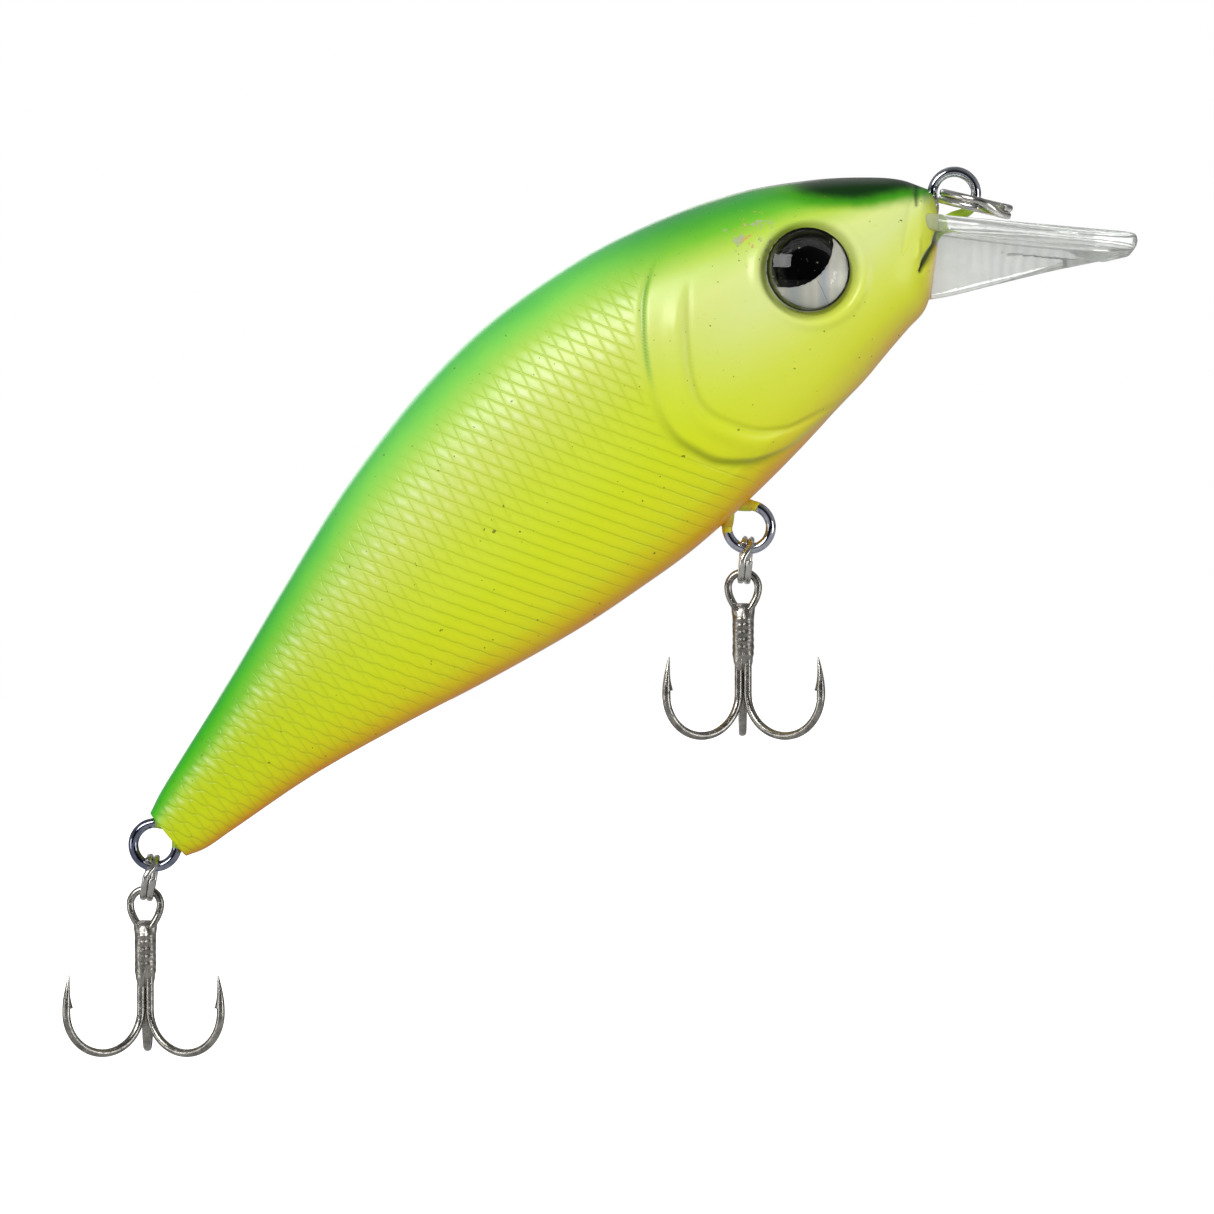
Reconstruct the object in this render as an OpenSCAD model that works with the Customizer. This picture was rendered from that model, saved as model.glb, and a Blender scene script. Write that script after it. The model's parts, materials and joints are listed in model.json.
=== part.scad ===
// Deep-diving crankbait lure with two treble hooks, split rings and rattles.
// Millimetres, +Z up. The origin is the centre of the line-tie eye.
// The moulded body is drawn in its own frame, x from the tail end to the nose
// and z towards the back, and is then pitched nose-up so that both trebles hang
// straight down.

/* [Body] */
// Length of the moulded body from tail end to nose
body_len = 95.8; // [80:0.1:116]
// Height of the back above the body's axis
back_h = 17.8; // [15:0.1:21]
// Depth of the belly below the body's axis
belly_h = 11.5; // [9.5:0.1:13.6]
// Width across the flanks
body_w = 16; // [13.4:0.1:19.2]
// Wall of each moulded half
wall = 1.4; // [1.1:0.1:1.7]
// Nose-up angle at which the lure hangs
pitch = 40; // [34:1:46]

/* [Lip] */
// Length of the diving lip ahead of the nose
lip_len = 19.3; // [16:0.1:23]
// Width of the lip at its broadest
lip_w = 17.4; // [14.5:0.1:20.8]
// Thickness of the lip blade
lip_t = 1.6; // [1.3:0.1:1.9]
// Angle between the body's axis and the lip, measured downwards
lip_angle = 45.3; // [40:0.1:50]
// Depth of the stiffening keel where it leaves the chin
keel_h = 8; // [6.4:0.1:9]
// Thickness of the keel
keel_t = 2.4; // [2:0.1:2.9]
// Length of the tab that is locked inside the nose
tab_len = 6.5; // [5.4:0.1:7.5]
// Width of that tab
tab_w = 5; // [4:0.1:6]

/* [Wire eyes] */
// Radius of the wire that forms the three eyes
eye_wire_r = 0.5; // [0.42:0.01:0.58]
// Radius of each eye, to the middle of its wire
eye_loop_r = 2.1; // [2.05:0.05:2.5]
// Length of each anchor leg inside the body
leg_len = 7; // [6:0.1:8.4]
// Place of the belly eye along the body
belly_eye_s = 61.8; // [58:0.1:64]
// How far the belly eye's centre stands below the belly
belly_eye_drop = 1.9; // [1.7:0.1:2.2]
// How far the tail eye's centre stands behind the tail end
tail_eye_drop = 1.6; // [1.6:0.1:2]
// How far the line-tie eye's centre stands ahead of the nose
tie_drop = 1.65; // [1.5:0.05:1.9]

/* [Split rings] */
// Outer radius of the two hook rings
hook_ring_r = 2.3; // [2.2:0.05:2.7]
// Radius of the wire in the hook rings
hook_ring_wire = 0.33; // [0.28:0.01:0.36]
// Outer radius of the line ring
line_ring_r = 3.6; // [3.3:0.05:4.2]
// Radius of the wire in the line ring
line_ring_wire = 0.36; // [0.3:0.01:0.4]
// Slope of the line ring where it rests on the lip
line_ring_tilt = 13.5; // [10:0.1:30]
// How far the line ring's middle hangs to the right of the line tie
line_ring_side = 1.4; // [0:0.1:1.8]
// Lean of the belly's hook ring towards the tail
belly_ring_lean = 5.4; // [0:0.1:12]
// Lean of the tail's hook ring away from the tail
tail_ring_lean = 9.5; // [0:0.1:12]

/* [Treble hooks] */
// Radius of the hook wire
hook_wire = 0.4; // [0.34:0.01:0.44]
// Distance of each hook point from the treble's axis
hook_spread = 8.55; // [7.2:0.05:10.2]
// Height of the points above the middle of the bends
hook_rise = 3.65; // [3.4:0.05:4.4]
// Length of the brazed shank above the middle of the bends
shank_h = 7.9; // [6.6:0.1:9.4]
// Radius of the hook's eye, to the middle of its wire
hook_eye_r = 1.45; // [1.4:0.05:1.7]
// Height from the top of the shank to the middle of the hook's eye
hook_eye_h = 2.25; // [1.9:0.05:2.7]
// Distance from the tip back to the barb
barb_back = 3.2; // [2.8:0.1:3.3]

/* [Eyes] */
// Radius of the glued-in eye
pupil_seat_r = 4; // [3.4:0.1:4.6]
// Place of the eye along the body
eye_s = 82.2; // [80:0.1:84]
// Height of the eye above the body's axis
eye_v = 2.15; // [1.5:0.05:3]
// Height of the clear dome
dome_h = 1.2; // [0.9:0.1:1.5]
// Radius of the round black pupil print
pupil_r = 4.3; // [3.6:0.1:4.6]

/* [Ballast and rattles] */
// Radius of the two ballast weights
ballast_r = 2.6; // [2.2:0.1:2.9]
// Length of each ballast weight across the body
ballast_len = 8.4; // [7:0.1:9]
// Radius of the rattle balls
ball_r = 2; // [1.7:0.05:2.3]
// How far each ball rolls in its cell
ball_travel = 3; // [2.5:0.1:3.6]

/* [Hidden] */
clear = 0.05;           // running and glue clearance between fitted pieces
seat = 0.06;            // clearance round the moulded-in wires
half_gap = 0.01;        // seam between the two halves

// Outline of the body: [share of the length, share of the height or width]
BACK = [[0, 0.15], [0.02, 0.198], [0.05, 0.253], [0.15, 0.43], [0.25, 0.62],
    [0.35, 0.80], [0.45, 0.93], [0.52, 0.985], [0.58, 1], [0.65, 0.975],
    [0.72, 0.915], [0.80, 0.79], [0.86, 0.65], [0.92, 0.457], [0.96, 0.293],
    [0.985, 0.163], [1, 0.03]];
BELLY = [[0, 0.24], [0.02, 0.295], [0.05, 0.32], [0.15, 0.405], [0.25, 0.56],
    [0.35, 0.742], [0.45, 0.895], [0.52, 0.96], [0.59, 1], [0.68, 0.972],
    [0.77, 0.893], [0.85, 0.775], [0.895, 0.718], [0.918, 0.695], [0.935, 0.62],
    [0.955, 0.48], [0.97, 0.37], [0.985, 0.25], [1, 0.05]];
FLANK = [[0, 0.21], [0.02, 0.27], [0.10, 0.36], [0.25, 0.56], [0.40, 0.80],
    [0.55, 0.96], [0.65, 1], [0.75, 0.98], [0.85, 0.87], [0.92, 0.70],
    [0.96, 0.55], [0.985, 0.38], [1, 0.06]];
LIP_PLAN = [[0, 0.40], [0.2, 0.54], [0.45, 0.80], [0.65, 0.98], [0.76, 1],
    [0.86, 0.93], [0.94, 0.70], [0.98, 0.42], [1, 0.06]];
LIP_KEEL = [[0.05, 1], [0.32, 0.78], [0.56, 0.58], [0.79, 0.41], [0.95, 0.30]];
roundness = 2.25;       // exponent of the body's oval sections
stations = 38;          // sections along the body
ring_n = 32;            // points round each section

// Smooth curve through the points of P at t
function seg(t, P, i = 0) = i >= len(P) - 2 || t <= P[i + 1][0] ? i : seg(t, P, i + 1);
function slope(P, i) = let(a = max(i - 1, 0), b = min(i + 1, len(P) - 1))
    (P[b][1] - P[a][1]) / (P[b][0] - P[a][0]);
function curve(t, P) = let(i = seg(t, P), h = P[i + 1][0] - P[i][0],
        x = (t - P[i][0]) / h, m0 = slope(P, i) * h, m1 = slope(P, i + 1) * h)
    (2 * pow(x, 3) - 3 * pow(x, 2) + 1) * P[i][1] + (pow(x, 3) - 2 * pow(x, 2) + x) * m0
    + (3 * pow(x, 2) - 2 * pow(x, 3)) * P[i + 1][1] + (pow(x, 3) - pow(x, 2)) * m1;

// Heights and half width of the body at the distance s from the tail end
function top_z(s) = back_h * curve(s / body_len, BACK);
function bottom_z(s) = -belly_h * curve(s / body_len, BELLY);
function half_w(s) = body_w / 2 * curve(s / body_len, FLANK);
function spow(x, p) = sign(x) * pow(abs(x), p);
// Half width of the body at the distance s and the height z
function flank_y(s, z) = let(m = (top_z(s) + bottom_z(s)) / 2,
        h = (top_z(s) - bottom_z(s)) / 2, k = min(1, abs(z - m) / h))
    half_w(s) * pow(1 - pow(k, roundness), 1 / roundness);

// One oval section, drawn in by the amount inset
function section(s, inset) = let(zt = top_z(s) - inset, zb = bottom_z(s) + inset,
        m = (zt + zb) / 2, h = (zt - zb) / 2, w = half_w(s) - inset)
    [for (j = [0:ring_n - 1]) let(a = 360 * j / ring_n)
        [s, w * spow(cos(a), 2 / roundness), m + h * spow(sin(a), 2 / roundness)]];

// Stations crowd towards both ends, where the outline turns fastest
function station(i, s0, s1) = s0 + (s1 - s0) * (1 - cos(180 * i / stations)) / 2;

module loft(s0, s1, inset) {
    rings = [for (i = [0:stations]) section(station(i, s0, s1), inset)];
    pts = [for (r = rings) for (p = r) p];
    sides = [for (i = [0:stations - 1]) for (j = [0:ring_n - 1])
        let(a = i * ring_n + j, b = i * ring_n + (j + 1) % ring_n)
        for (f = [[a, a + ring_n, b], [b, a + ring_n, b + ring_n]]) f];
    tail = [for (j = [0:ring_n - 1]) j];
    nose = [for (j = [ring_n - 1:-1:0]) stations * ring_n + j];
    polyhedron(pts, concat([tail], sides, [nose]), convexity = 6);
}

// Where the three wire eyes stand in the body's frame
tie_s = body_len + tie_drop;
tie_v = -1.4;
belly_eye_v = bottom_z(belly_eye_s) - belly_eye_drop;
tail_eye_v = 0;

// Turns the body's frame to the object's own frame
module hang() { rotate([0, -pitch, 0]) translate([-tie_s, 0, -tie_v]) children(); }
// The same turn for a point [s, z]
function hung(s, v) = [(s - tie_s) * cos(pitch) - (v - tie_v) * sin(pitch), 0,
    (s - tie_s) * sin(pitch) + (v - tie_v) * cos(pitch)];

// ---------------------------------------------------------------- wire eyes
leg_r = eye_wire_r * 0.9;
leg_gap = 0.62;          // half distance between the two legs
anchor_r = 1.5;          // radius of the locking loop at the inner end

// Loop in the mid-plane, two legs along +x and a locking loop at their end
module wire_eye(grow = 0, leg = leg_len, n = 24) {
    rotate([90, 0, 0]) {
        rotate_extrude($fn = 2 * n) translate([eye_loop_r, 0])
            circle(r = eye_wire_r + grow, $fn = n);
        translate([eye_loop_r + leg + anchor_r, 0, 0]) rotate_extrude($fn = 2 * n)
            translate([anchor_r, 0]) circle(r = eye_wire_r + grow, $fn = n);
    }
    for (side = [-1, 1]) translate([eye_loop_r - 0.25, 0, side * leg_gap])
        rotate([0, 90, 0]) cylinder(h = leg + 0.6, r = leg_r + grow, $fn = n);
}

module at_tie() { translate([tie_s, 0, tie_v]) rotate([0, 180 - 18, 0]) children(); }
module at_belly() { translate([belly_eye_s, 0, belly_eye_v]) rotate([0, -90, 0]) children(); }
module at_tail() { translate([-tail_eye_drop, 0, tail_eye_v]) children(); }

// ---------------------------------------------------------------- split rings
// Two close coils side by side, in a plane with the ring's axis along z
module split_ring(outer, wire) {
    for (side = [-1, 1]) translate([0, 0, side * (wire - 0.01)])
        rotate_extrude($fn = 64) translate([outer - wire, 0]) circle(r = wire, $fn = 20);
}

// How far two coils sit from the middle of a round eye of inner radius hole
function nest(hole, wire) = sqrt(pow(hole - wire - 0.02, 2) - pow(wire, 2));
eye_hole = eye_loop_r - eye_wire_r;
hook_ring_mid = hook_ring_r - hook_ring_wire;
line_ring_mid = line_ring_r - line_ring_wire;
ring_drop = nest(eye_hole, hook_ring_wire) + hook_ring_mid;
// The line ring sits low in its eye, and nearer the middle the more it hangs to one side
tie_near = nest(eye_hole, line_ring_wire) - 0.04 - 0.11 * pow(line_ring_side, 2);
tie_rest = 20;                               // below the level, towards the nose
// Middle of the hook's eye below the wire eye's centre
hook_drop = ring_drop + hook_ring_mid + nest(hook_eye_r - hook_wire * 0.9, hook_ring_wire);

belly_at = hung(belly_eye_s, belly_eye_v);
tail_at = hung(-tail_eye_drop, tail_eye_v);
// A point so far down the leaning chain of ring and hook
function below(place, lean, drop) = place - drop * [sin(lean), 0, cos(lean)];

// ---------------------------------------------------------------- hooks
shank_off = hook_wire * 1.22;     // each shank's distance from the treble's axis
bend_r = (hook_spread - shank_off) / 2;
tube_n = 10;

// One hook from tip to shank top in the plane at azimuth a.
// Each entry is [point, wire radius, barb share, direction of the barb]
function half_hook(a) = let(d = [cos(a), sin(a), 0], tip = hook_rise)
    concat(
        [for (q = [[0, 0.05, 0], [0.5, 0.11, 0], [1.3, 0.22, 0], [2.2, 0.33, 0.2],
                [barb_back - 0.2, hook_wire, 0.75], [barb_back, hook_wire, 1],
                [barb_back + 0.08, hook_wire, 0]])
            [hook_spread * d + [0, 0, tip - q[0]], q[1], q[2], -d]],
        [for (k = [0:14]) let(t = -180 * k / 14)
            [(shank_off + bend_r + bend_r * cos(t)) * d + [0, 0, bend_r * sin(t)],
                hook_wire, 0, -d]],
        [for (z = [shank_h / 3, shank_h * 2 / 3])
            [shank_off * d + [0, 0, z], hook_wire, 0, -d]]);

// One side of the hook's teardrop eye, from the shank upwards, for x = +-1
function eye_side(sx) = [for (k = [0:6]) let(t = k / 6, e = t * t * (3 - 2 * t))
    [[sx * (shank_off * cos(30) * (1 - e) + hook_eye_r * e), -shank_off * 0.5 * (1 - e),
        shank_h + hook_eye_h * t], hook_wire * (1 - 0.1 * e), 0, [0, 1, 0]]];
function eye_top() = [for (k = [1:9]) let(t = 18 * k)
    [[hook_eye_r * cos(t), 0, shank_h + hook_eye_h + hook_eye_r * sin(t)],
        hook_wire * 0.9, 0, [0, 1, 0]]];
function reversed(L) = [for (i = [len(L) - 1:-1:0]) L[i]];

double_path = concat(half_hook(-30), eye_side(1), eye_top(), reversed(eye_side(-1)),
    reversed(half_hook(210)));
single_path = concat(half_hook(90),
    [[[0, shank_off, shank_h - 0.2], hook_wire, 0, [0, -1, 0]],
     [[0, shank_off * 0.9, shank_h + 0.5], hook_wire * 0.6, 0, [0, -1, 0]]]);

function unit(v) = v / norm(v);
function tangent(L, i) = unit(L[min(i + 1, len(L) - 1)][0] - L[max(i - 1, 0)][0]);
function flat_to(u, t) = unit(u - (u * t) * t);
// Side vectors that turn as little as possible along the path
function sides_of(L) = [for (i = 0, u = flat_to([0.3, 1, 0.1], tangent(L, 0)); i < len(L);
    i = i + 1, u = i < len(L) ? flat_to(u, tangent(L, i)) : u) u];

module sweep(L) {
    n = len(L);
    U = sides_of(L);
    pts = [for (i = [0:n - 1]) let(t = tangent(L, i), u = U[i], w = cross(t, u))
        for (j = [0:tube_n - 1]) let(a = 360 * j / tube_n, o = cos(a) * u + sin(a) * w,
            b = 1 + 0.9 * L[i][2] * pow(max(0, o * L[i][3]), 3))
            L[i][0] + L[i][1] * b * o];
    sides = [for (i = [0:n - 2]) for (j = [0:tube_n - 1])
        let(a = i * tube_n + j, b = i * tube_n + (j + 1) % tube_n)
        for (f = [[a, b, a + tube_n], [b, b + tube_n, a + tube_n]]) f];
    first = [for (j = [tube_n - 1:-1:0]) j];
    last = [for (j = [0:tube_n - 1]) (n - 1) * tube_n + j];
    polyhedron(pts, concat([first], sides, [last]), convexity = 8);
}

// The braze that joins the three shanks, with a run for each wire
braze_h = shank_h * 0.62;
module braze() {
    difference() {
        translate([0, 0, shank_h - braze_h - 0.3]) cylinder(h = braze_h, r = shank_off * 2.06, $fn = 40);
        for (a = [-30, 90, 210]) rotate(a) translate([shank_off, 0, 0])
            cylinder(h = shank_h * 1.5, r = hook_wire + 0.015, $fn = 24);
    }
}

module at_hook(place, lean) {
    translate(below(place, lean, hook_drop) - [0, 0, shank_h + hook_eye_h]) children();
}
module at_belly_hook() { at_hook(belly_at, belly_ring_lean) children(); }
module at_tail_hook() { at_hook(tail_at, tail_ring_lean) children(); }

// ---------------------------------------------------------------- lip
lip_s = body_len - 0.8;
lip_v = -1.9;
module at_lip() { translate([lip_s, 0, lip_v]) rotate([0, lip_angle, 0]) children(); }
// Side outline of the keel under the blade
function keel_pts(grow) = concat([[-2.2 - grow, -lip_t * 0.5], [-2.2 - grow, -keel_h - 1.2 - grow]],
    [for (k = [0:12]) let(t = 0.05 + 0.9 * k / 12)
        [lip_len * t, -keel_h * curve(t, LIP_KEEL) - grow]],
    [[lip_len * 0.985, -lip_t * 0.7]]);
module lip_blade() {
    n = 22;
    edge = [for (k = [0:n]) let(t = sin(90 * k / n)) [lip_len * t, lip_w / 2 * curve(t, LIP_PLAN)]];
    translate([0, 0, -lip_t]) linear_extrude(lip_t)
        polygon(concat(edge, [for (i = [n:-1:0]) [edge[i][0], -edge[i][1]]]));
}
module lip_keel(grow = 0) {
    rotate([90, 0, 0]) translate([0, 0, -keel_t / 2 - grow])
        linear_extrude(keel_t + 2 * grow) polygon(keel_pts(grow));
}
module lip_tab(grow = 0) {
    translate([-tab_len - grow, -tab_w / 2 - grow, -lip_t - grow])
        cube([tab_len + 1, tab_w + 2 * grow, lip_t + 2 * grow]);
    translate([-tab_len * 0.7, 0, -lip_t - 1.6 - grow])
        cylinder(h = lip_t + 2.4 + 2 * grow, r = 1.1 + grow, $fn = 24);
}
module lip_shape() { lip_blade(); lip_keel(); lip_tab(); }

// ---------------------------------------------------------------- glued eyes
eye_yaw = 11;                    // the flank narrows towards the nose
foil_t = 0.4;
print_t = 0.12;
seat_y = flank_y(eye_s, eye_v) - 0.9;
module at_eye(side) {
    translate([eye_s, side * seat_y, eye_v]) rotate([0, 0, -side * eye_yaw])
        rotate([-side * 90, 0, 0]) children();
}
module foil() { cylinder(h = foil_t, r = pupil_seat_r, $fn = 64); }
// The pupil is a larger disc set off towards the back and cut by the rim
module pupil(side) {
    translate([0, 0, foil_t]) intersection() {
        cylinder(h = print_t, r = pupil_seat_r - 0.15, $fn = 64);
        translate([0.2, -side * 3.3, -1]) cylinder(h = 3, r = pupil_r, $fn = 64);
    }
}
dome_ball = (pow(pupil_seat_r, 2) + pow(dome_h, 2)) / (2 * dome_h);
module dome() {
    z0 = foil_t + print_t + 0.01;
    intersection() {
        translate([0, 0, z0 + dome_h - dome_ball]) sphere(r = dome_ball, $fn = 96);
        translate([0, 0, z0]) cylinder(h = dome_h * 2, r = pupil_seat_r - 0.02, $fn = 64);
    }
}

// ---------------------------------------------------------------- ballast and rattles
BALLAST = [[72, -5.4], [47, -5]];            // front and rear places
cell_v = 3;                                  // height of the rattle cells
cell_wall = 1.1;
cell_pitch = 2 * ball_r + ball_travel + 2 * clear + cell_wall;
function cell_s(i) = 41 + i * cell_pitch;    // tail end of each cell
module ballast(i) {
    translate([BALLAST[i][0], -ballast_len / 2, BALLAST[i][1]]) rotate([-90, 0, 0])
        cylinder(h = ballast_len, r = ballast_r, $fn = 48);
}
module ball(i) { translate([cell_s(i) + ball_r + clear, 0, cell_v]) sphere(r = ball_r, $fn = 48); }

// ---------------------------------------------------------------- moulded halves
PEGS = [[22, 1.6], [45, 11.6], [69, 10.4]];  // locating pegs and their sockets
RIBS = [[12, 0, 30, 4], [30, 4, 38, -3], [66, 3, 74, 8], [74, 8, 79, 3]];
peg_r = 1.2;
boss_r = 2.4;

module boss(s, v, r) {
    hull() {
        translate([s, 0, v]) rotate([-90, 0, 0]) cylinder(h = body_w / 2, r = r, $fn = 28);
        translate([s, body_w * 0.4, v]) rotate([-90, 0, 0])
            cylinder(h = body_w * 0.1, r = r * 1.4, $fn = 28);
    }
}
module rib(r) {
    hull() for (p = [[r[0], r[1]], [r[2], r[3]]]) translate([p[0], body_w * 0.2, p[1]])
        rotate([-90, 0, 0]) cylinder(h = body_w * 0.3, r = 0.5, $fn = 12);
}

// Solid places inside one half, drawn on the +y side
module inner_blocks() {
    for (p = PEGS) boss(p[0], p[1], boss_r);
    for (b = BALLAST) boss(b[0], b[1], ballast_r + 0.9);
    for (r = RIBS) rib(r);
    // beam that holds the rattle cells
    translate([cell_s(0) - cell_wall, 0, cell_v - ball_r - cell_wall])
        cube([3 * cell_pitch + cell_wall, body_w / 2, 2 * (ball_r + cell_wall)]);
    // nose, tail and belly anchorages
    translate([body_len - 13.5, 0, -belly_h]) cube([15, body_w / 2, back_h + belly_h]);
    translate([-1, 0, -belly_h]) cube([15.5, body_w / 2, back_h + belly_h]);
    translate([belly_eye_s - 3.2, 0, -belly_h - 1]) cube([6.4, body_w / 2, 14]);
}

module half_body() {
    difference() {
        intersection() {
            union() {
                difference() {
                    loft(0, body_len, 0);
                    loft(5, body_len - 5, wall);
                }
                intersection() {
                    loft(0.01, body_len - 0.01, 0.02);
                    inner_blocks();
                }
            }
            translate([-5, half_gap, -belly_h - 5]) cube([body_len + 10, body_w, back_h + belly_h + 10]);
        }
        at_tie() wire_eye(seat, n = 14);
        at_belly() wire_eye(seat, n = 14);
        at_tail() wire_eye(seat, n = 14);
        at_lip() { lip_tab(clear); lip_keel(clear); }
        at_lip() translate([-0.6, -lip_w / 2, -lip_t - clear]) cube([lip_len, lip_w, lip_t + 2 * clear]);
        for (i = [0, 1]) translate([BALLAST[i][0], 0, BALLAST[i][1]]) rotate([-90, 0, 0])
            cylinder(h = ballast_len / 2 + clear, r = ballast_r + clear, $fn = 36);
        for (i = [0:2]) translate([cell_s(i), 0, cell_v]) rotate([0, 90, 0])
            cylinder(h = 2 * ball_r + ball_travel + 2 * clear, r = ball_r + 0.12, $fn = 30);
        at_eye(1) {
            cylinder(h = 6, r = pupil_seat_r + 0.08, $fn = 48);
            translate([0, 0, 0.55])
                cylinder(h = 3, r1 = pupil_seat_r + 0.1, r2 = pupil_seat_r + 2.5, $fn = 48);
        }
    }
}

module shell_left() {
    color("yellowgreen") hang() union() {
        difference() { half_body(); for (p = PEGS) translate([p[0], -1, p[1]]) rotate([-90, 0, 0])
            cylinder(h = 3.2, r = peg_r + clear, $fn = 28); }
    }
}
module shell_right() {
    color("yellowgreen") hang() union() {
        mirror([0, 1, 0]) half_body();
        for (p = PEGS) translate([p[0], -1, p[1]]) rotate([-90, 0, 0])
            cylinder(h = 3, r = peg_r, $fn = 28);
    }
}

// The line-tie wire is moulded through the root of the lip
module diving_lip() {
    color("gainsboro") hang() difference() {
        at_lip() lip_shape();
        at_tie() wire_eye(0.03);
    }
}
module line_tie_eye() { color("silver") hang() at_tie() wire_eye(); }
module belly_eye() { color("silver") hang() at_belly() wire_eye(); }
module tail_eye() { color("silver") hang() at_tail() wire_eye(); }
module line_ring() {
    color("lightgray") translate(-tie_near * [cos(tie_rest), 0, sin(tie_rest)])
        rotate([0, line_ring_tilt, 0])
        translate([sqrt(pow(line_ring_mid, 2) - pow(line_ring_side, 2)), -line_ring_side, 0])
        split_ring(line_ring_r, line_ring_wire);
}
module hook_ring(place, lean) {
    color("lightgray") translate(below(place, lean, ring_drop)) rotate([0, 90 + lean, 0])
        split_ring(hook_ring_r, hook_ring_wire);
}
module belly_ring() { hook_ring(belly_at, belly_ring_lean); }
module tail_ring() { hook_ring(tail_at, tail_ring_lean); }
module belly_double_hook() { color("dimgray") at_belly_hook() sweep(double_path); }
module belly_single_hook() { color("gray") at_belly_hook() sweep(single_path); }
module belly_braze() { color("darkgray") at_belly_hook() braze(); }
module tail_double_hook() { color("dimgray") at_tail_hook() sweep(double_path); }
module tail_single_hook() { color("gray") at_tail_hook() sweep(single_path); }
module tail_braze() { color("darkgray") at_tail_hook() braze(); }
module eye_foil_right() { color("whitesmoke") hang() at_eye(-1) foil(); }
module eye_pupil_right() { color("black") hang() at_eye(-1) pupil(-1); }
module eye_dome_right() { color("azure") hang() at_eye(-1) dome(); }
module eye_foil_left() { color("whitesmoke") hang() at_eye(1) foil(); }
module eye_pupil_left() { color("black") hang() at_eye(1) pupil(1); }
module eye_dome_left() { color("azure") hang() at_eye(1) dome(); }
module ballast_front() { color("slategray") hang() ballast(0); }
module ballast_rear() { color("slategray") hang() ballast(1); }
module rattle_ball_rear() { color("silver") hang() ball(0); }
module rattle_ball_mid() { color("silver") hang() ball(1); }
module rattle_ball_front() { color("silver") hang() ball(2); }

shell_right();
shell_left();
diving_lip();
line_tie_eye();
belly_eye();
tail_eye();
line_ring();
belly_ring();
tail_ring();
belly_double_hook();
belly_single_hook();
belly_braze();
tail_double_hook();
tail_single_hook();
tail_braze();
eye_foil_right();
eye_pupil_right();
eye_dome_right();
eye_foil_left();
eye_pupil_left();
eye_dome_left();
ballast_front();
ballast_rear();
rattle_ball_rear();
rattle_ball_mid();
rattle_ball_front();
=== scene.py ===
# %% [markdown]
# # A deep-diving crankbait, hanging from its line tie
# A crankbait is a hard plastic fish with a clear lip that pulls it down. The CAD
# model gives every piece its place; this lesson gives each one its real surface:
# sprayed paint over moulded scales, clear plastic, spring-steel wire and nickel.
# We start by loading the CAD frame, which stays where it is.

# %% Load the frame
import json
import math
import bpy
import numpy as np
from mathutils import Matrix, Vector


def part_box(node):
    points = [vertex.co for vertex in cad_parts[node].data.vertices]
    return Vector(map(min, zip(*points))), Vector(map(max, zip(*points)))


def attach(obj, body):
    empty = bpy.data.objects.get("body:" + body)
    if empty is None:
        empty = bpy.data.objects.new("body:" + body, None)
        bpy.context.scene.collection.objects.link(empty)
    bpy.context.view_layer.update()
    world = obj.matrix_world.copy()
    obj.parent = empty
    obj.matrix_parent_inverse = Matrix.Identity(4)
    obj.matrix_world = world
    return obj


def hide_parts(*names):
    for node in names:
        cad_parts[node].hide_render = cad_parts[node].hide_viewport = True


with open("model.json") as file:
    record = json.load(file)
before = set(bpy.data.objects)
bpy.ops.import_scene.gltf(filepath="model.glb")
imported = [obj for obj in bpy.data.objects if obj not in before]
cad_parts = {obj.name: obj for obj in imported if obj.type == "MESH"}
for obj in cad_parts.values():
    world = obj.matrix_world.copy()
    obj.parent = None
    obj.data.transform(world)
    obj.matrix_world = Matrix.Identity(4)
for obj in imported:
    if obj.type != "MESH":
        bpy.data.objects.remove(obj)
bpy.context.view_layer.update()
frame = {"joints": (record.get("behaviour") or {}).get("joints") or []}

MM = 0.001
joints = {j["name"]: j for j in frame["joints"]}

# %% [markdown]
# ## The body's own frame
# The mould maker draws the fish lying straight: s runs from the tail end to the
# nose, v up to the back, y to the side. The lure hangs nose-up, so every point
# is then turned about Y and moved so that the line-tie eye is the origin.

# %% From the straight body to the hanging lure
PITCH = math.radians(40)
BODY_LEN, BACK_H, BELLY_H, BODY_W = 95.8, 17.8, 11.5, 16.0
TIE = (97.45, -1.4)                       # the line-tie eye in the body's frame


def hang(s, y, v):
    """Points of the hanging lure in metres: (s, v) less the line tie, turned up by
    the pitch: X = s cos - v sin, Z = s sin + v cos. y stays as it is."""
    s, y, v = np.broadcast_arrays(np.asarray(s, float), y, v)
    a, b = s - TIE[0], v - TIE[1]
    c, k = math.cos(PITCH), math.sin(PITCH)
    return np.stack([a * c - b * k, y + 0 * a, a * k + b * c], -1) * MM


def through(points, t):
    """A smooth curve through (place, value) points: on each span a cubic with the
    slopes of the chords on either side."""
    p = np.asarray(points, float)
    x, f = p[:, 0], p[:, 1]
    m = np.empty(len(x))
    m[1:-1] = (f[2:] - f[:-2]) / (x[2:] - x[:-2])
    m[0], m[-1] = (f[1] - f[0]) / (x[1] - x[0]), (f[-1] - f[-2]) / (x[-1] - x[-2])
    t = np.clip(t, x[0], x[-1])
    i = np.clip(np.searchsorted(x, t) - 1, 0, len(x) - 2)
    h = x[i + 1] - x[i]
    k = (t - x[i]) / h
    return ((2 * k**3 - 3 * k**2 + 1) * f[i] + (k**3 - 2 * k**2 + k) * m[i] * h
            + (3 * k**2 - 2 * k**3) * f[i + 1] + (k**3 - k**2) * m[i + 1] * h)


def ease(a, b, x):
    """0 before a, 1 after b, and 3k^2 - 2k^3 between."""
    k = np.clip((np.asarray(x, float) - a) / (b - a), 0, 1)
    return k * k * (3 - 2 * k)


print("belly eye hangs at", [round(c, 4) for c in joints["belly_ring_swing"]["pos_m"]])

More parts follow.
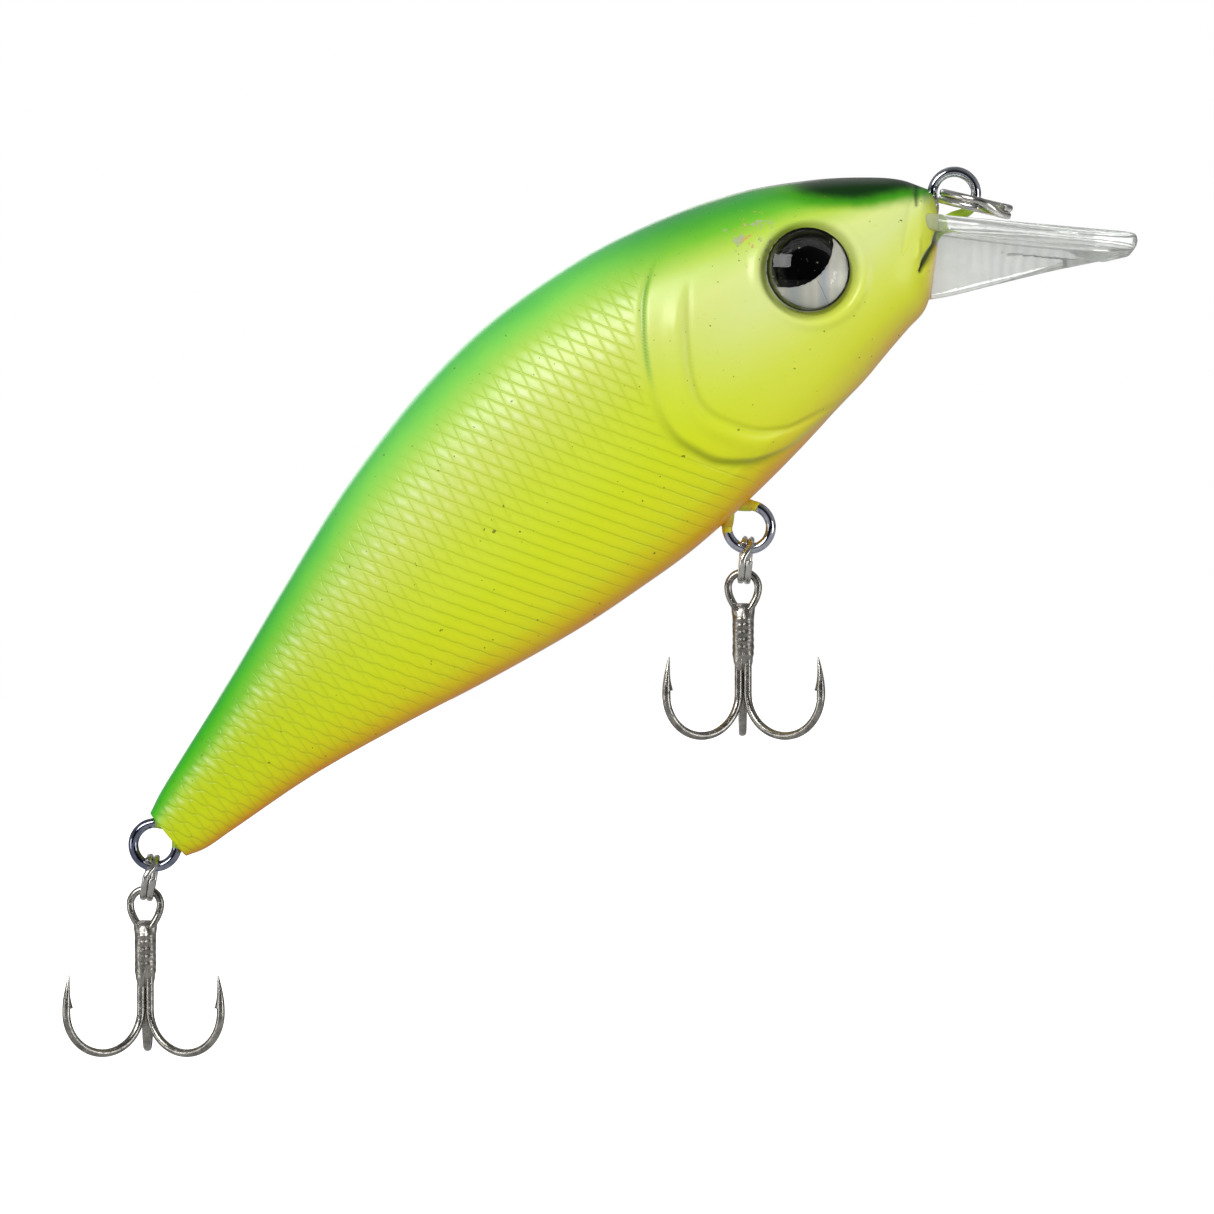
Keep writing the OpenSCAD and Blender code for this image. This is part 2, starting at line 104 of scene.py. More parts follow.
# %% [markdown]
# ## Meshes from grids
# Almost every piece here is a sheet of points in rows and columns. One helper
# turns such a grid into a mesh, closing it round the columns, with a flat face on
# each open end. A second helper carries a ring of points along a wire's path.

# %% A grid of points becomes a piece


def piece(name, grid, material, body, stands_for=(), closed=True, caps=True,
          flip=False, marks=None, wall=False):
    """Makes a mesh from grid[row, column, xyz] in metres. Quads join neighbours;
    closed joins the last column to the first, and caps puts one flat face on each end
    row; with wall, the joining strip is flat too. marks are named numbers per point."""
    rows, cols = grid.shape[:2]
    i = np.arange(rows * cols).reshape(rows, cols)
    j = np.roll(i, -1, 1) if closed else i[:, 1:]
    i_ = i if closed else i[:, :-1]
    quads = np.stack([i_[:-1], j[:-1], j[1:], i_[1:]], -1).reshape(-1, 4)
    faces = quads.tolist()
    if caps:
        faces += [i[0, ::-1].tolist(), i[-1].tolist()]
    if flip:
        faces = [f[::-1] for f in faces]
    mesh = bpy.data.meshes.new(name)
    mesh.from_pydata(grid.reshape(-1, 3).tolist(), [], faces)
    for key, values in (marks or {}).items():
        a = mesh.attributes.new(key, "FLOAT", "POINT")
        a.data.foreach_set("value", np.ascontiguousarray(values, np.float32).ravel())
    round_face = np.ones(len(mesh.polygons), bool)
    round_face[len(quads):] = False
    if wall:
        round_face[cols - 1:len(quads):cols] = False
    mesh.polygons.foreach_set("use_smooth", round_face)
    mesh.materials.append(material)
    mesh.update()
    obj = bpy.data.objects.new(name, mesh)
    bpy.context.scene.collection.objects.link(obj)
    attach(obj, body)
    if stands_for:
        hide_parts(*stands_for)
    print(f"{name}: {len(mesh.polygons)} faces")
    return obj


def wire_rings(path, radius, across, around, squareness=2.0, bulge=None):
    """Carries a ring along path[n, xyz]. At each point N is the part of the given
    side vector square to the path and B completes the frame; the ring is
    path + radius (c N + k B), with c and k rounded towards a square when
    squareness is over 2. bulge = (share, direction) swells one side."""
    path = np.asarray(path, float)
    t = np.gradient(path, axis=0)
    t /= np.linalg.norm(t, axis=1, keepdims=True)
    across = np.broadcast_to(np.asarray(across, float), path.shape)
    n = across - (across * t).sum(1, keepdims=True) * t
    n /= np.linalg.norm(n, axis=1, keepdims=True)
    b = np.cross(t, n)
    a = np.linspace(0, 2 * np.pi, around, endpoint=False)
    c = np.sign(np.cos(a)) * np.abs(np.cos(a)) ** (2 / squareness)
    k = np.sign(np.sin(a)) * np.abs(np.sin(a)) ** (2 / squareness)
    out = c[None, :, None] * n[:, None] + k[None, :, None] * b[:, None]
    r = np.broadcast_to(np.asarray(radius, float), len(path))[:, None, None]
    if bulge is not None:
        share, way = bulge
        toward = np.clip((out * np.asarray(way)[:, None]).sum(-1, keepdims=True), 0, 1)
        r = r * (1 + share[:, None, None] * toward**3)
    return path[:, None] + r * out


# %% [markdown]
# ## A short way to write materials
# Each finish is a small tree of nodes. These helpers make a node, link what goes
# into it and hand back what comes out, so that a finish reads like a sum.

# %% Node helpers


class Finish:
    """A material under construction. Its methods take numbers or other outputs."""

    def __init__(self, name, **values):
        self.mat = bpy.data.materials.new(name)
        self.mat.use_nodes = True
        self.tree = self.mat.node_tree
        self.shader = self.tree.nodes["Principled BSDF"]
        for key, value in values.items():
            self.set(key.replace("_", " "), value)

    def set(self, socket, value):
        s = self.shader.inputs[socket]
        if isinstance(value, bpy.types.NodeSocket):
            self.tree.links.new(value, s)
        else:
            s.default_value = value

    def node(self, kind, out=0, inputs=(), **props):
        n = self.tree.nodes.new(kind)
        for key, value in props.items():
            setattr(n, key, value)
        pairs = inputs.items() if isinstance(inputs, dict) else enumerate(inputs)
        for key, value in pairs:
            if isinstance(value, bpy.types.NodeSocket):
                self.tree.links.new(value, n.inputs[key])
            elif value is not None:
                n.inputs[key].default_value = value
        return n.outputs[out]

    def math(self, op, a, b=0.0, c=0.0, clamp=False):
        return self.node("ShaderNodeMath", inputs=(a, b, c), operation=op, use_clamp=clamp)

    def times(self, a, b): return self.math("MULTIPLY", a, b)
    def less(self, a, b): return self.math("SUBTRACT", a, b)
    def plus(self, a, b, clamp=False): return self.math("ADD", a, b, clamp=clamp)

    def scaled(self, a, b, c, clamp=False):
        """a times b, plus c."""
        return self.math("MULTIPLY_ADD", a, b, c, clamp)

    def between(self, x, low, high, to_low=0.0, to_high=1.0):
        return self.node("ShaderNodeMapRange", inputs=(x, low, high, to_low, to_high),
                         interpolation_type="SMOOTHSTEP")

    def mix(self, share, a, b):
        return self.node("ShaderNodeMix", out=2, data_type="RGBA",
                         inputs={0: share, 6: a, 7: b})

    def ramp(self, x, stops):
        n = self.tree.nodes.new("ShaderNodeValToRGB")
        e = n.color_ramp.elements
        while len(e) < len(stops):
            e.new(0.5)
        for el, (place, colour) in zip(e, stops):
            el.position, el.color = place, colour
        self.tree.links.new(x, n.inputs[0])
        return n.outputs[0]

    def noise(self, scale, detail=3.0, rough=0.5):
        """Cloudy values from 0 to 1 over Object coordinates."""
        at = self.node("ShaderNodeTexCoord", out=3)
        return self.node("ShaderNodeTexNoise", inputs={
            "Vector": at, "Scale": scale, "Detail": detail, "Roughness": rough})

    def mark(self, name):
        return self.node("ShaderNodeAttribute", out=2, attribute_name=name)

    def bump(self, height, distance, strength):
        return self.node("ShaderNodeBump", inputs={
            "Strength": strength, "Distance": distance, "Height": height})


def paint(r, g, b):
    """A colour given as it looks on a screen, 0 to 255, in the light's own units."""
    c = np.array([r, g, b]) / 255
    lin = np.where(c <= 0.04045, c / 12.92, ((c + 0.055) / 1.055) ** 2.4)
    return (float(lin[0]), float(lin[1]), float(lin[2]), 1.0)


print("helpers ready")

# %% [markdown]
# ## The body's outline
# The back, the belly and the flanks each follow a curve through a few points, as
# shares of the length and of the height or width. Between them every section is a
# rounded oval, a little squarer than an ellipse. These are the CAD's own curves,
# so the painted skin lies on the moulded halves.

# %% Outline curves and one half of the skin
BACK = [[0, .15], [.02, .198], [.05, .253], [.15, .43], [.25, .62], [.35, .80],
        [.45, .93], [.52, .985], [.58, 1], [.65, .975], [.72, .915], [.80, .79],
        [.86, .65], [.92, .457], [.96, .293], [.985, .163], [1, .03]]
BELLY = [[0, .24], [.02, .295], [.05, .32], [.15, .405], [.25, .56], [.35, .742],
         [.45, .895], [.52, .96], [.59, 1], [.68, .972], [.77, .893], [.85, .775],
         [.895, .718], [.918, .695], [.935, .62], [.955, .48], [.97, .37], [.985, .25],
         [1, .05]]
FLANK = [[0, .21], [.02, .27], [.10, .36], [.25, .56], [.40, .80], [.55, .96], [.65, 1],
         [.75, .98], [.85, .87], [.92, .70], [.96, .55], [.985, .38], [1, .06]]
ROUND = 2.25


def top_v(s): return BACK_H * through(BACK, s / BODY_LEN)
def low_v(s): return -BELLY_H * through(BELLY, s / BODY_LEN)
def half_w(s): return BODY_W / 2 * through(FLANK, s / BODY_LEN)


def flank(s, v):
    """How far the flank stands from the mid-plane at (s, v), by the oval's rule
    (y/w)^n + (height share)^n = 1."""
    m, h = (top_v(s) + low_v(s)) / 2, (top_v(s) - low_v(s)) / 2
    k = np.clip(np.abs(v - m) / h, 0, 1)
    return half_w(s) * (1 - k**ROUND) ** (1 / ROUND)


print("deepest at", round(float(top_v(np.array(55.6)) - low_v(np.array(55.6))), 1), "mm")

# %% [markdown]
# ## Moulded relief
# The mould has a stepped gill plate, a rolled band inside it, a dished seat for
# the eye, a mouth slit and a few folds by the nose. Each is a height in
# millimetres over the side view (s, v). The fine scales are too small for the
# grid and come later as bump. The raised mark some makers put on the gill plate
# is left off, so the plate stays smooth.

# %% Heights of the relief
GILL = [[-10.5, 72.5], [-9.1, 68.5], [-8.4, 66.9], [-7.6, 65.5], [-6, 63.8], [-4.1, 62.9],
        [-2.1, 62.3], [.2, 62.5], [2.5, 63.3], [5.1, 64.6], [7.9, 66.5], [10.4, 68.8],
        [12.5, 72.1], [14.5, 76]]
BAND = [[-9.6, 77], [-8.6, 72.6], [-8, 70.6], [-6.4, 68.4], [-4, 66.8], [-2, 66.1],
        [0, 66.3], [3.3, 68.1], [7.6, 71.5], [10, 74], [12, 77]]
EYE = (81.9, 2.15)
SEAT_R, SEAT_RIM = 4.2, 4.85              # the seat's flat floor, and where its wall ends


def beyond(edge, s, v):
    """Signed distance in front of an edge given as (v, s) points: the gap along s,
    shortened by the edge's slope."""
    e = through(edge, v)
    slope = (through(edge, v + .2) - through(edge, v - .2)) / .4
    return (s - e) / np.sqrt(1 + slope**2)


def stroke(s, v, a, b, width):
    """1 on the line from a to b and falling off as a bell over width; it also thins
    towards both ends."""
    d = np.array(b, float) - a
    k = np.clip(((s - a[0]) * d[0] + (v - a[1]) * d[1]) / (d @ d), 0, 1)
    gap = np.hypot(s - a[0] - k * d[0], v - a[1] - k * d[1])
    return np.exp(-(gap / (width * (.35 + .65 * np.sin(np.pi * np.clip(k, .1, .9))))) ** 2)


MOUTH = [((94.5, -3.0), (92.6, -4.0)), ((92.9, -3.8), (90.2, -4.9))]


def relief(s, v):
    """Height of the moulded surface over the plain oval, and masks over the side view:
    the dark of the mouth slit and nose fold (painted shade), the gill line, and
    pooled paint with painted shade behind the gill step and in the eye seat."""
    g, b = beyond(GILL, s, v), beyond(BAND, s, v)
    low = ease(5, -6, v)
    inside = ease(13.4, 11, v) * ease(-10.2, -9, v)
    step = (.16 + .34 * low) * ease(-.35 - .3 * low, .3, g) * np.exp(-np.clip(g, 0, 99) / 13)
    rut = (.14 + .05 * low) * np.exp(-((g + .25 + .25 * low) / (.22 + .3 * low)) ** 2)
    roll = .25 * np.exp(-((b + 1.1) / .8) ** 2) * ease(9, 6, v) * ease(-9.5, -7.5, v)
    notch = .17 * np.exp(-((b - .05) / .28) ** 2) * ease(9, 6, v) * ease(-10, -8, v)
    height = (step - rut) * inside + roll - notch
    # eye seat: a flat floor, a sloping wall wider at the lower front, a raised lip
    de = np.hypot(s - EYE[0], v - EYE[1])
    skew = .45 * ((s - EYE[0]) * .62 - (v - EYE[1]) * .78) / np.maximum(de, .1)
    rim = SEAT_RIM + np.clip(skew, -.15, 1)
    bowl = 1 - ease(0, 1, (de - SEAT_R) / (rim - SEAT_R))
    lip = .13 * np.exp(-((de - rim - .3) / .42) ** 2)
    height = height * (1 - bowl) + lip - .85 * bowl - .55 * (1 - ease(3.9, 4.25, de))
    cut = sum(stroke(s, v, a, c, .34) for a, c in MOUTH)
    fold = stroke(s, v, (95.2, 1.6), (93.9, .1), .22)
    crease = (stroke(s, v, (94.3, 1.2), (90.1, -2.3), .3)
              + .7 * stroke(s, v, (92.2, -2.6), (89.4, -6.2), .35))
    height = height - .42 * np.clip(cut, 0, 1) - .22 * fold - .09 * crease
    height += .10 * stroke(s, v, (94.6, .2), (91.0, -3.6), .55)
    # painted shade: dark marks the mouth slit and the fold by the nose
    dark = np.clip(1.25 * cut, 0, 1) + .8 * fold
    line = np.exp(-((g + .1) / .2) ** 2) * ease(2, 6, v) * ease(12.5, 10.5, v)
    # pooled paint and painted shade: olive behind the gill step, wider low down, along the band's
    # notch, and on the eye seat's wall, darker towards its lower front
    pooled_and_shade = np.clip(.75 * np.exp(-((g + .35) / .5) ** 2) * inside * low
                     + .35 * np.exp(-((b - .05) / .3) ** 2) * ease(9, 6, v) * ease(-10, -8, v)
                     + bowl * ease(4.2, 4.5, de) * ease(5.9, 5.1, de)
                     * (.45 + np.clip(skew, 0, 1)), 0, 1)
    return height, np.clip(dark, 0, 1), np.clip(line, 0, 1), pooled_and_shade, g


print("relief ready, gill plate edge at s =", GILL[7][1])

# %% [markdown]
# ## Two painted halves
# A lure body is moulded as two half shells that meet on the mid-plane. Each skin
# is a grid: along the rows s runs from tail to nose, and across it the oval's
# angle runs from the belly seam to the back seam. Rows crowd at the ends, where
# the outline turns quickly. The relief then pushes each point out along the
# oval's own normal, and the seam keeps its place.

# %% The skin of one half
ROWS, COLS = 470, 176
NIGHT = [[70, 13.5], [78, 12], [82, 10], [84, 9.2], [86, 7.3], [88, 5.7], [90, 4.0],
         [92, 2.8], [94, 1.7], [96, .3]]            # the lower edge of the dark head top


def half_skin(side):
    """For angle a from -90 (belly) to +90 (back): y = w sgn|cos a|^(2/n) and
    v = m + h sgn(sin a)|sin a|^(2/n), n = 2.25; then point + relief * normal. The last
    column turns in along the mid-plane, so that the half is a closed form."""
    u = np.linspace(0, 1, ROWS)
    s = BODY_LEN * (u + .035 * np.sin(np.pi * u) ** 2 * np.cos(np.pi * u)
                    - .018 * np.sin(2 * np.pi * u))
    s = np.clip(s, 0, BODY_LEN - .004)[:, None]
    a = np.linspace(-np.pi / 2, np.pi / 2, COLS)[None]
    m, h, w = (top_v(s) + low_v(s)) / 2, (top_v(s) - low_v(s)) / 2, half_w(s)
    cy, sy = np.clip(np.cos(a), 0, 1), np.sin(a)
    y = w * cy ** (2 / ROUND)
    v = m + h * np.sign(sy) * np.abs(sy) ** (2 / ROUND)
    s = s + 0 * v
    p = np.stack([s, y, v], -1)
    du = np.gradient(p, axis=0)
    dv = np.gradient(p, axis=1)
    n = np.cross(dv, du)
    n[:, 0] = n[:, 1]
    n /= np.maximum(np.linalg.norm(n, axis=-1, keepdims=True), 1e-9)
    n *= np.sign((n * np.stack([0 * s, y + .01, v - m], -1)).sum(-1, keepdims=True))
    height, dark, line, pooled_and_shade, g = relief(s, v)
    fade = ease(0, .6, y) * ease(0, 1.2, s) * ease(BODY_LEN, BODY_LEN - .8, s)
    p = p + n * (height * fade)[..., None]
    p[:, 0, 1] = p[:, -1, 1] = 0
    q = (v - m) / h
    night = ease(-2.4, 1.6, v - through(NIGHT, s)) * ease(80.5, 89, s)
    night = np.maximum(night, .9 * ease(.955, .995, q) * ease(72, 86, s))
    marks = {"tall": q, "along": s, "up": v, "dark": dark, "line": line,
             "pooled_and_shade": pooled_and_shade, "front": g, "night": night}
    grid = hang(p[..., 0], side * p[..., 1], p[..., 2])
    return grid, marks


right_grid, right_marks = half_skin(-1)
left_grid, left_marks = half_skin(1)
print("skin points per half:", right_grid.shape[0] * right_grid.shape[1])

# %% [markdown]
# ## The sprayed finish
# A painter lays a lime base, dusts green along the back and orange along the
# belly, and darkens the head. Here three colour ramps over the height share stand
# for the tail, the middle and the head, and they blend along the length. The
# middle and head ramps also carry a painted highlight: they are paler on the upper
# flank and over the gill plate. The moulded scales are two families of fine
# grooves: the paint pools in them, so each groove is both a dip in the bump and a
# deeper colour. Pale dashes on the raised scales are painted highlight too.

# %% The lime paint
SCALE_1, SCALE_2 = 1.15, 1.35             # pitch of the two families of grooves, in mm
WORN_AT = (79.9, 7.9)                     # middle of the worn patch over the eye


def lime_paint(name):
    """Base colour = ramps over height share, mixed along s; times grooves, where a
    groove is near |frac(distance / pitch) - 1/2| = 0 for lines across the body."""
    f = Finish(name, Roughness=.34, Coat_Weight=.22, Coat_Roughness=.2, IOR=1.38)
    s, v, q = f.mark("along"), f.mark("up"), f.mark("tall")
    cloud = f.noise(170, 4)
    qq = f.plus(q, f.times(f.less(cloud, .5), .1))
    place = f.scaled(qq, .5, .5)
    # painted highlight: the middle and head ramps are paler than the tail's on the upper flank and
    # over the gill plate
    tail = f.ramp(place, [(0, paint(238, 142, 0)), (.05, paint(232, 180, 0)),
                          (.13, paint(214, 204, 0)), (.28, paint(200, 210, 0)),
                          (.5, paint(190, 206, 0)), (.66, paint(184, 206, 34)),
                          (.75, paint(168, 206, 58)), (.85, paint(104, 188, 26)),
                          (.93, paint(60, 176, 8)), (1, paint(26, 154, 40))])
    middle = f.ramp(place, [(0, paint(244, 160, 0)), (.05, paint(238, 212, 10)),
                            (.12, paint(222, 228, 20)), (.3, paint(208, 222, 22)),
                            (.5, paint(204, 220, 54)), (.67, paint(206, 220, 100)),
                            (.76, paint(200, 220, 112)), (.85, paint(176, 214, 84)),
                            (.93, paint(124, 208, 80)), (1, paint(50, 182, 78))])
    head = f.ramp(place, [(0, paint(240, 184, 90)), (.05, paint(232, 222, 70)),
                          (.12, paint(222, 230, 56)), (.28, paint(214, 226, 80)),
                          (.5, paint(216, 228, 140)), (.66, paint(216, 228, 136)),
                          (.78, paint(180, 212, 70)), (.86, paint(106, 188, 40)),
                          (.92, paint(70, 166, 46)), (1, paint(30, 140, 60))])
    colour = f.mix(f.between(s, 6, 42), tail, middle)
    colour = f.mix(f.between(s, 62, 78), colour, head)

    # two families of grooves, each swaying a little where it meets the other
    d1 = f.scaled(s, .866, f.times(v, .5))
    d2 = f.scaled(s, .961, f.times(v, -.276))
    sway1 = f.math("SINE", f.times(d2, 2 * math.pi / SCALE_2))
    sway2 = f.math("SINE", f.times(d1, 2 * math.pi / SCALE_1))
    sway = f.between(s, 44, 8, .02, .1)          # towards the tail they turn scale-shaped
    broad = f.less(f.noise(260, 2), .5)

    def groove(d, wave, pitch, amount):
        d = f.scaled(wave, amount, d)
        d = f.scaled(broad, .1, d)
        k = f.math("FRACT", f.math("DIVIDE", d, pitch))
        return f.times(f.math("ABSOLUTE", f.less(k, .5)), pitch)

    gap1, gap2 = groove(d1, sway1, SCALE_1, sway), groove(d2, sway2, SCALE_2, sway)
    behind = f.between(f.mark("front"), -.5, -1.6)
    off_back = f.between(q, .86, .6)
    show1 = f.times(f.times(behind, off_back), f.between(q, -1, -.8))
    upper = f.plus(f.between(q, -.3, .12), f.between(s, 40, 12), clamp=True)
    show2 = f.times(show1, upper)
    line1 = f.times(f.between(gap1, .13, .03), show1)
    line2 = f.times(f.between(gap2, .13, .03), show2)
    lines = f.math("MAXIMUM", line1, f.times(line2, .8))
    edge = f.times(f.math("MAXIMUM", f.times(f.between(gap1, .42, .2), show1),
                          f.times(f.between(gap2, .42, .2), show2)), .2)
    deep = f.node("ShaderNodeMix", out=2, data_type="RGBA", blend_type="MULTIPLY",
                  inputs={0: f.plus(f.times(lines, .6), edge, clamp=True),
                          6: colour, 7: paint(232, 238, 140)})
    # on the raised scales between the grooves, pale dashes in a band along the upper
    # flank are a painted highlight
    painted_glint_dashes = f.times(f.between(gap1, .22, .5), f.between(gap2, .1, .5))
    painted_highlight_belt = f.times(f.between(q, .12, .42), f.between(q, .78, .55))
    painted_highlight_belt = f.times(f.times(painted_highlight_belt, show1), f.between(f.noise(620, 3), .38, .66))
    colour = f.mix(f.times(f.times(painted_glint_dashes, painted_highlight_belt), .32), deep, paint(238, 246, 206))

    # pooled paint with painted shade (olive), the green line on the gill plate, the dark
    # head, and painted shade in the mouth slit and the nose fold
    colour = f.mix(f.times(f.mark("pooled_and_shade"), .8), colour, paint(158, 172, 4))
    colour = f.mix(f.times(f.mark("line"), .75), colour, paint(52, 150, 30))
    soft = f.scaled(f.less(f.noise(900, 3), .5), .12, f.mark("night"))
    colour = f.mix(f.between(soft, .05, .6), colour, paint(60, 150, 6))
    colour = f.mix(f.between(soft, .5, .95), colour, paint(0, 50, 0))
    # painted shade, coloured near black-green in the mouth slit and the nose fold
    colour = f.mix(f.times(f.mark("dark"), .95), colour, paint(6, 44, 4))

    # tiny specks everywhere, and a worn patch over the eye
    fleck = f.between(f.noise(2100, 1, .4), .765, .785)
    colour = f.mix(f.times(fleck, .8), colour, paint(96, 104, 20))
    ds, dv = f.less(s, WORN_AT[0]), f.less(v, WORN_AT[1])
    far = f.math("SQRT", f.plus(f.times(ds, ds), f.times(dv, dv)))
    patch = f.between(far, 4.2, .8)
    worn = f.times(patch, f.between(
        f.scaled(patch, .12, f.noise(1500, 4, .65)), .67, .70))
    hue = f.mix(f.between(f.noise(700, 1), .48, .56), paint(170, 176, 140), paint(214, 160, 80))
    colour = f.mix(worn, colour, hue)
    chalky = f.times(f.between(f.noise(330, 5, .7), .69, .72), f.between(q, -.86, -.97))
    colour = f.mix(chalky, colour, paint(232, 190, 170))
    f.set("Base Color", colour)
    f.set("Roughness", f.scaled(lines, .14, f.scaled(f.noise(1200, 2), .12, .24)))
    bead = f.times(f.noise(2600, 2, .6), .05)
    height = f.less(bead, f.plus(lines, f.times(edge, .9)))
    height = f.less(height, f.times(worn, .5))
    height = f.scaled(f.noise(420, 2), .22, height)
    f.set("Normal", f.bump(height, .00005, .7))
    f.set("Coat Normal", f.bump(height, .00004, .6))
    return f.mat


paint_right, paint_left = lime_paint("sprayed lime, right"), lime_paint("sprayed lime, left")
skin_right = piece("skin_right", right_grid, paint_right, "lure", ["shell_right"],
                   marks=right_marks, wall=True, flip=True)
skin_left = piece("skin_left", left_grid, paint_left, "lure", ["shell_left"],
                  marks=left_marks, wall=True)

# %% [markdown]
# ## The clear lip
# The lip is one moulding of clear plastic: a rounded blade that the water pushes
# against and a web under it that stiffens the root. It could be two solids
# joined, but a mould gives one skin, so the loft's section is a T: across the
# blade, round its edge, under it, through a small fillet and down the web.

# %% The lip's own frame and its T section
LIP_AT, LIP_SLOPE, LIP_LEN, LIP_W, LIP_T = (95.0, -1.9), math.radians(45.3), 19.3, 17.4, 1.6
LIP_PLAN = [[0, .40], [.2, .54], [.45, .80], [.65, .98], [.76, 1], [.86, .93], [.94, .70],
            [.98, .42], [1, .06]]
WEB = [[-.2, 1.12], [.05, 1], [.32, .78], [.56, .58], [.79, .41], [.95, .30], [1, .26]]
LIP_ROOT, WEB_H = 1.3, 8.0                # how far the blade enters the nose; web depth


def on_lip(x, y, z):
    """x runs out along the blade, z up from its top face; the blade slopes 45.3
    degrees below the body's axis."""
    c, k = math.cos(LIP_SLOPE), math.sin(LIP_SLOPE)
    return hang(LIP_AT[0] + x * c + z * k, y, LIP_AT[1] - x * k + z * c)


def lip_skin(rows=120, turn=12):
    """Half a T section per row, mirrored. Going round: a crowned top to w - r, an
    edge ellipse, the underside in to the web, a quarter-round fillet, the web's side
    and a rounded foot. w follows the plan curve and the foot the web curve."""
    k = np.linspace(0, 1, rows)
    x = (-LIP_ROOT + (LIP_LEN + LIP_ROOT) * np.sin(k * np.pi / 2))[:, None]
    t = x / LIP_LEN
    w = LIP_W / 2 * through(LIP_PLAN, np.clip(t, 0, 1))
    end = np.sqrt(np.clip(1 - np.clip((x - LIP_LEN + 1.0) / 1.0, 0, 1) ** 2, .0004, 1))
    thick = LIP_T * end
    top = -(LIP_T - thick) / 2
    foot = (np.maximum(WEB_H * through(WEB, t), LIP_T + .04) * ease(1.02, .96, t)
            + (LIP_T + .02) * ease(.96, 1.02, t))
    spare = np.clip(foot - LIP_T, .02, 99)
    r = np.minimum(.55, .5 * w)
    f = np.minimum(.5, spare * .35)
    web = np.minimum(1.2, .6 * w)
    b = np.minimum(1.0, spare * .5)
    q = np.linspace(0, np.pi / 2, turn)[None]
    line = np.linspace(0, 1, 14)[None]
    low = top - thick

    def along(y0, z0, y1, z1):
        return y0 + (y1 - y0) * line, z0 + (z1 - z0) * line

    ys, zs = [], []
    for y, z in (along(0 * w, top, w - r, top),
                 (w - r + r * np.sin(q), top - thick / 2 + thick / 2 * np.cos(q)),
                 (w - r + r * np.cos(q), top - thick / 2 - thick / 2 * np.sin(q)),
                 along(w - r, low, web + f, low),
                 (web + f - f * np.sin(q), low - f + f * np.cos(q)),
                 along(web, low - f, web * .92, low - spare + b),
                 (web * .92 * np.cos(q), low - spare + b - b * np.sin(q))):
        ys.append((y + 0 * x)[:, 1:])
        zs.append((z + 0 * x)[:, 1:])
    y, z = np.concatenate(ys, 1), np.concatenate(zs, 1)
    y[:, -1] = 0
    y = np.concatenate([0 * x, y, -y[:, -2::-1]], 1)
    z = np.concatenate([top + 0 * x, z, z[:, -2::-1]], 1)
    dish = -.28 * np.sin(np.pi * np.clip(t, 0, 1)) * (1 - (y / w) ** 2) * (z > -3)
    z = z + dish * np.clip(end, .3, 1)
    return on_lip(x + 0 * y, y, z), x + 0 * y


lip_grid, lip_x = lip_skin()
print("lip grid", lip_grid.shape)

# %% [markdown]
# ## Clear plastic that has seen water
# New lips are like glass; this one is slightly milky, with moulding swirls from
# the gate at its root and scratches. Most of the light goes through and a little
# comes back off the surface. The flow lines along the blade are only a tint: as a
# bump they would ripple everything seen through the plastic.

# %% The clear plastic


def lip_plastic():
    """Mostly transmission. Colour = clear to milky by noise, plus faint bands of a
    noise-bent x for the flow lines; the bump is scratches and swirls alone."""
    f = Finish("clear lip plastic", IOR=1.5, Transmission_Weight=.72)
    x = f.mark("out")
    bend = f.noise(120, 2)
    bands = f.math("SINE", f.times(f.scaled(bend, 3.2, x), 5.5))
    milky = f.scaled(bands, .14, f.times(f.noise(300, 4), .9), clamp=True)
    f.set("Base Color", f.mix(milky, paint(238, 240, 236), paint(204, 208, 204)))
    f.set("Roughness", f.scaled(f.noise(700, 3), .12, .02))
    f.set("Normal", f.bump(f.times(f.noise(90, 5, .7), .7), .0003, .55))
    return f.mat


clear_lip = piece("clear_lip", lip_grid, lip_plastic(), "lure", ["diving_lip"],
                  marks={"out": lip_x}, flip=True)

# %% [markdown]
# ## Wire eyes
# Three eyes of spring wire are moulded into the body: one at the nose for the
# line and two for the trebles. Each is bent like an omega. Its round loop comes
# from a circle, and each leg joins it by a cubic that leaves the circle along its
# tangent. The sprayer coats the wire near the body, so a number along the wire
# says how much paint it carries.

# %% One bent wire eye
WIRE, LOOP, LEG_GAP = .5, 2.1, .62
EYES = {"line_tie_eye": 162, "belly_eye": -90, "tail_eye": 0}   # way of the legs, degrees


def omega(n=150):
    """Loop 2.1 (cos t, sin t) for t from 45 to 315 degrees, with a cubic from each end
    to a straight leg at z = +-0.62; x runs towards the body."""
    t = np.radians(np.linspace(45, 315, n))
    ring = np.stack([LOOP * np.cos(t), LOOP * np.sin(t)], -1)
    k = np.linspace(0, 1, 16)[:, None]
    c, d = ring[0], np.array([.707, -.707])
    p = [c, c + .8 * d, np.array([2.6, LEG_GAP]), np.array([3.3, LEG_GAP])]
    bend = ((1 - k)**3 * p[0] + 3 * k * (1 - k)**2 * p[1] + 3 * k**2 * (1 - k) * p[2]
            + k**3 * p[3])
    leg = np.stack([np.linspace(6.4, 3.45, 8), np.full(8, LEG_GAP)], -1)
    first = np.concatenate([leg, bend[::-1][:-1]])
    return np.concatenate([first, ring, (first * [1, -1])[::-1]])


def wire_eye_centre(name):
    """The eye's centre in (s, v). A hook's eye is where its ring swings, turned back
    into the body's frame."""
    if name == "line_tie_eye":
        return TIE
    p = np.array(joints[name.replace("_eye", "_ring_swing")]["pos_m"]) / MM
    c, k = math.cos(PITCH), math.sin(PITCH)
    return TIE[0] + p[0] * c + p[2] * k, TIE[1] - p[0] * k + p[2] * c


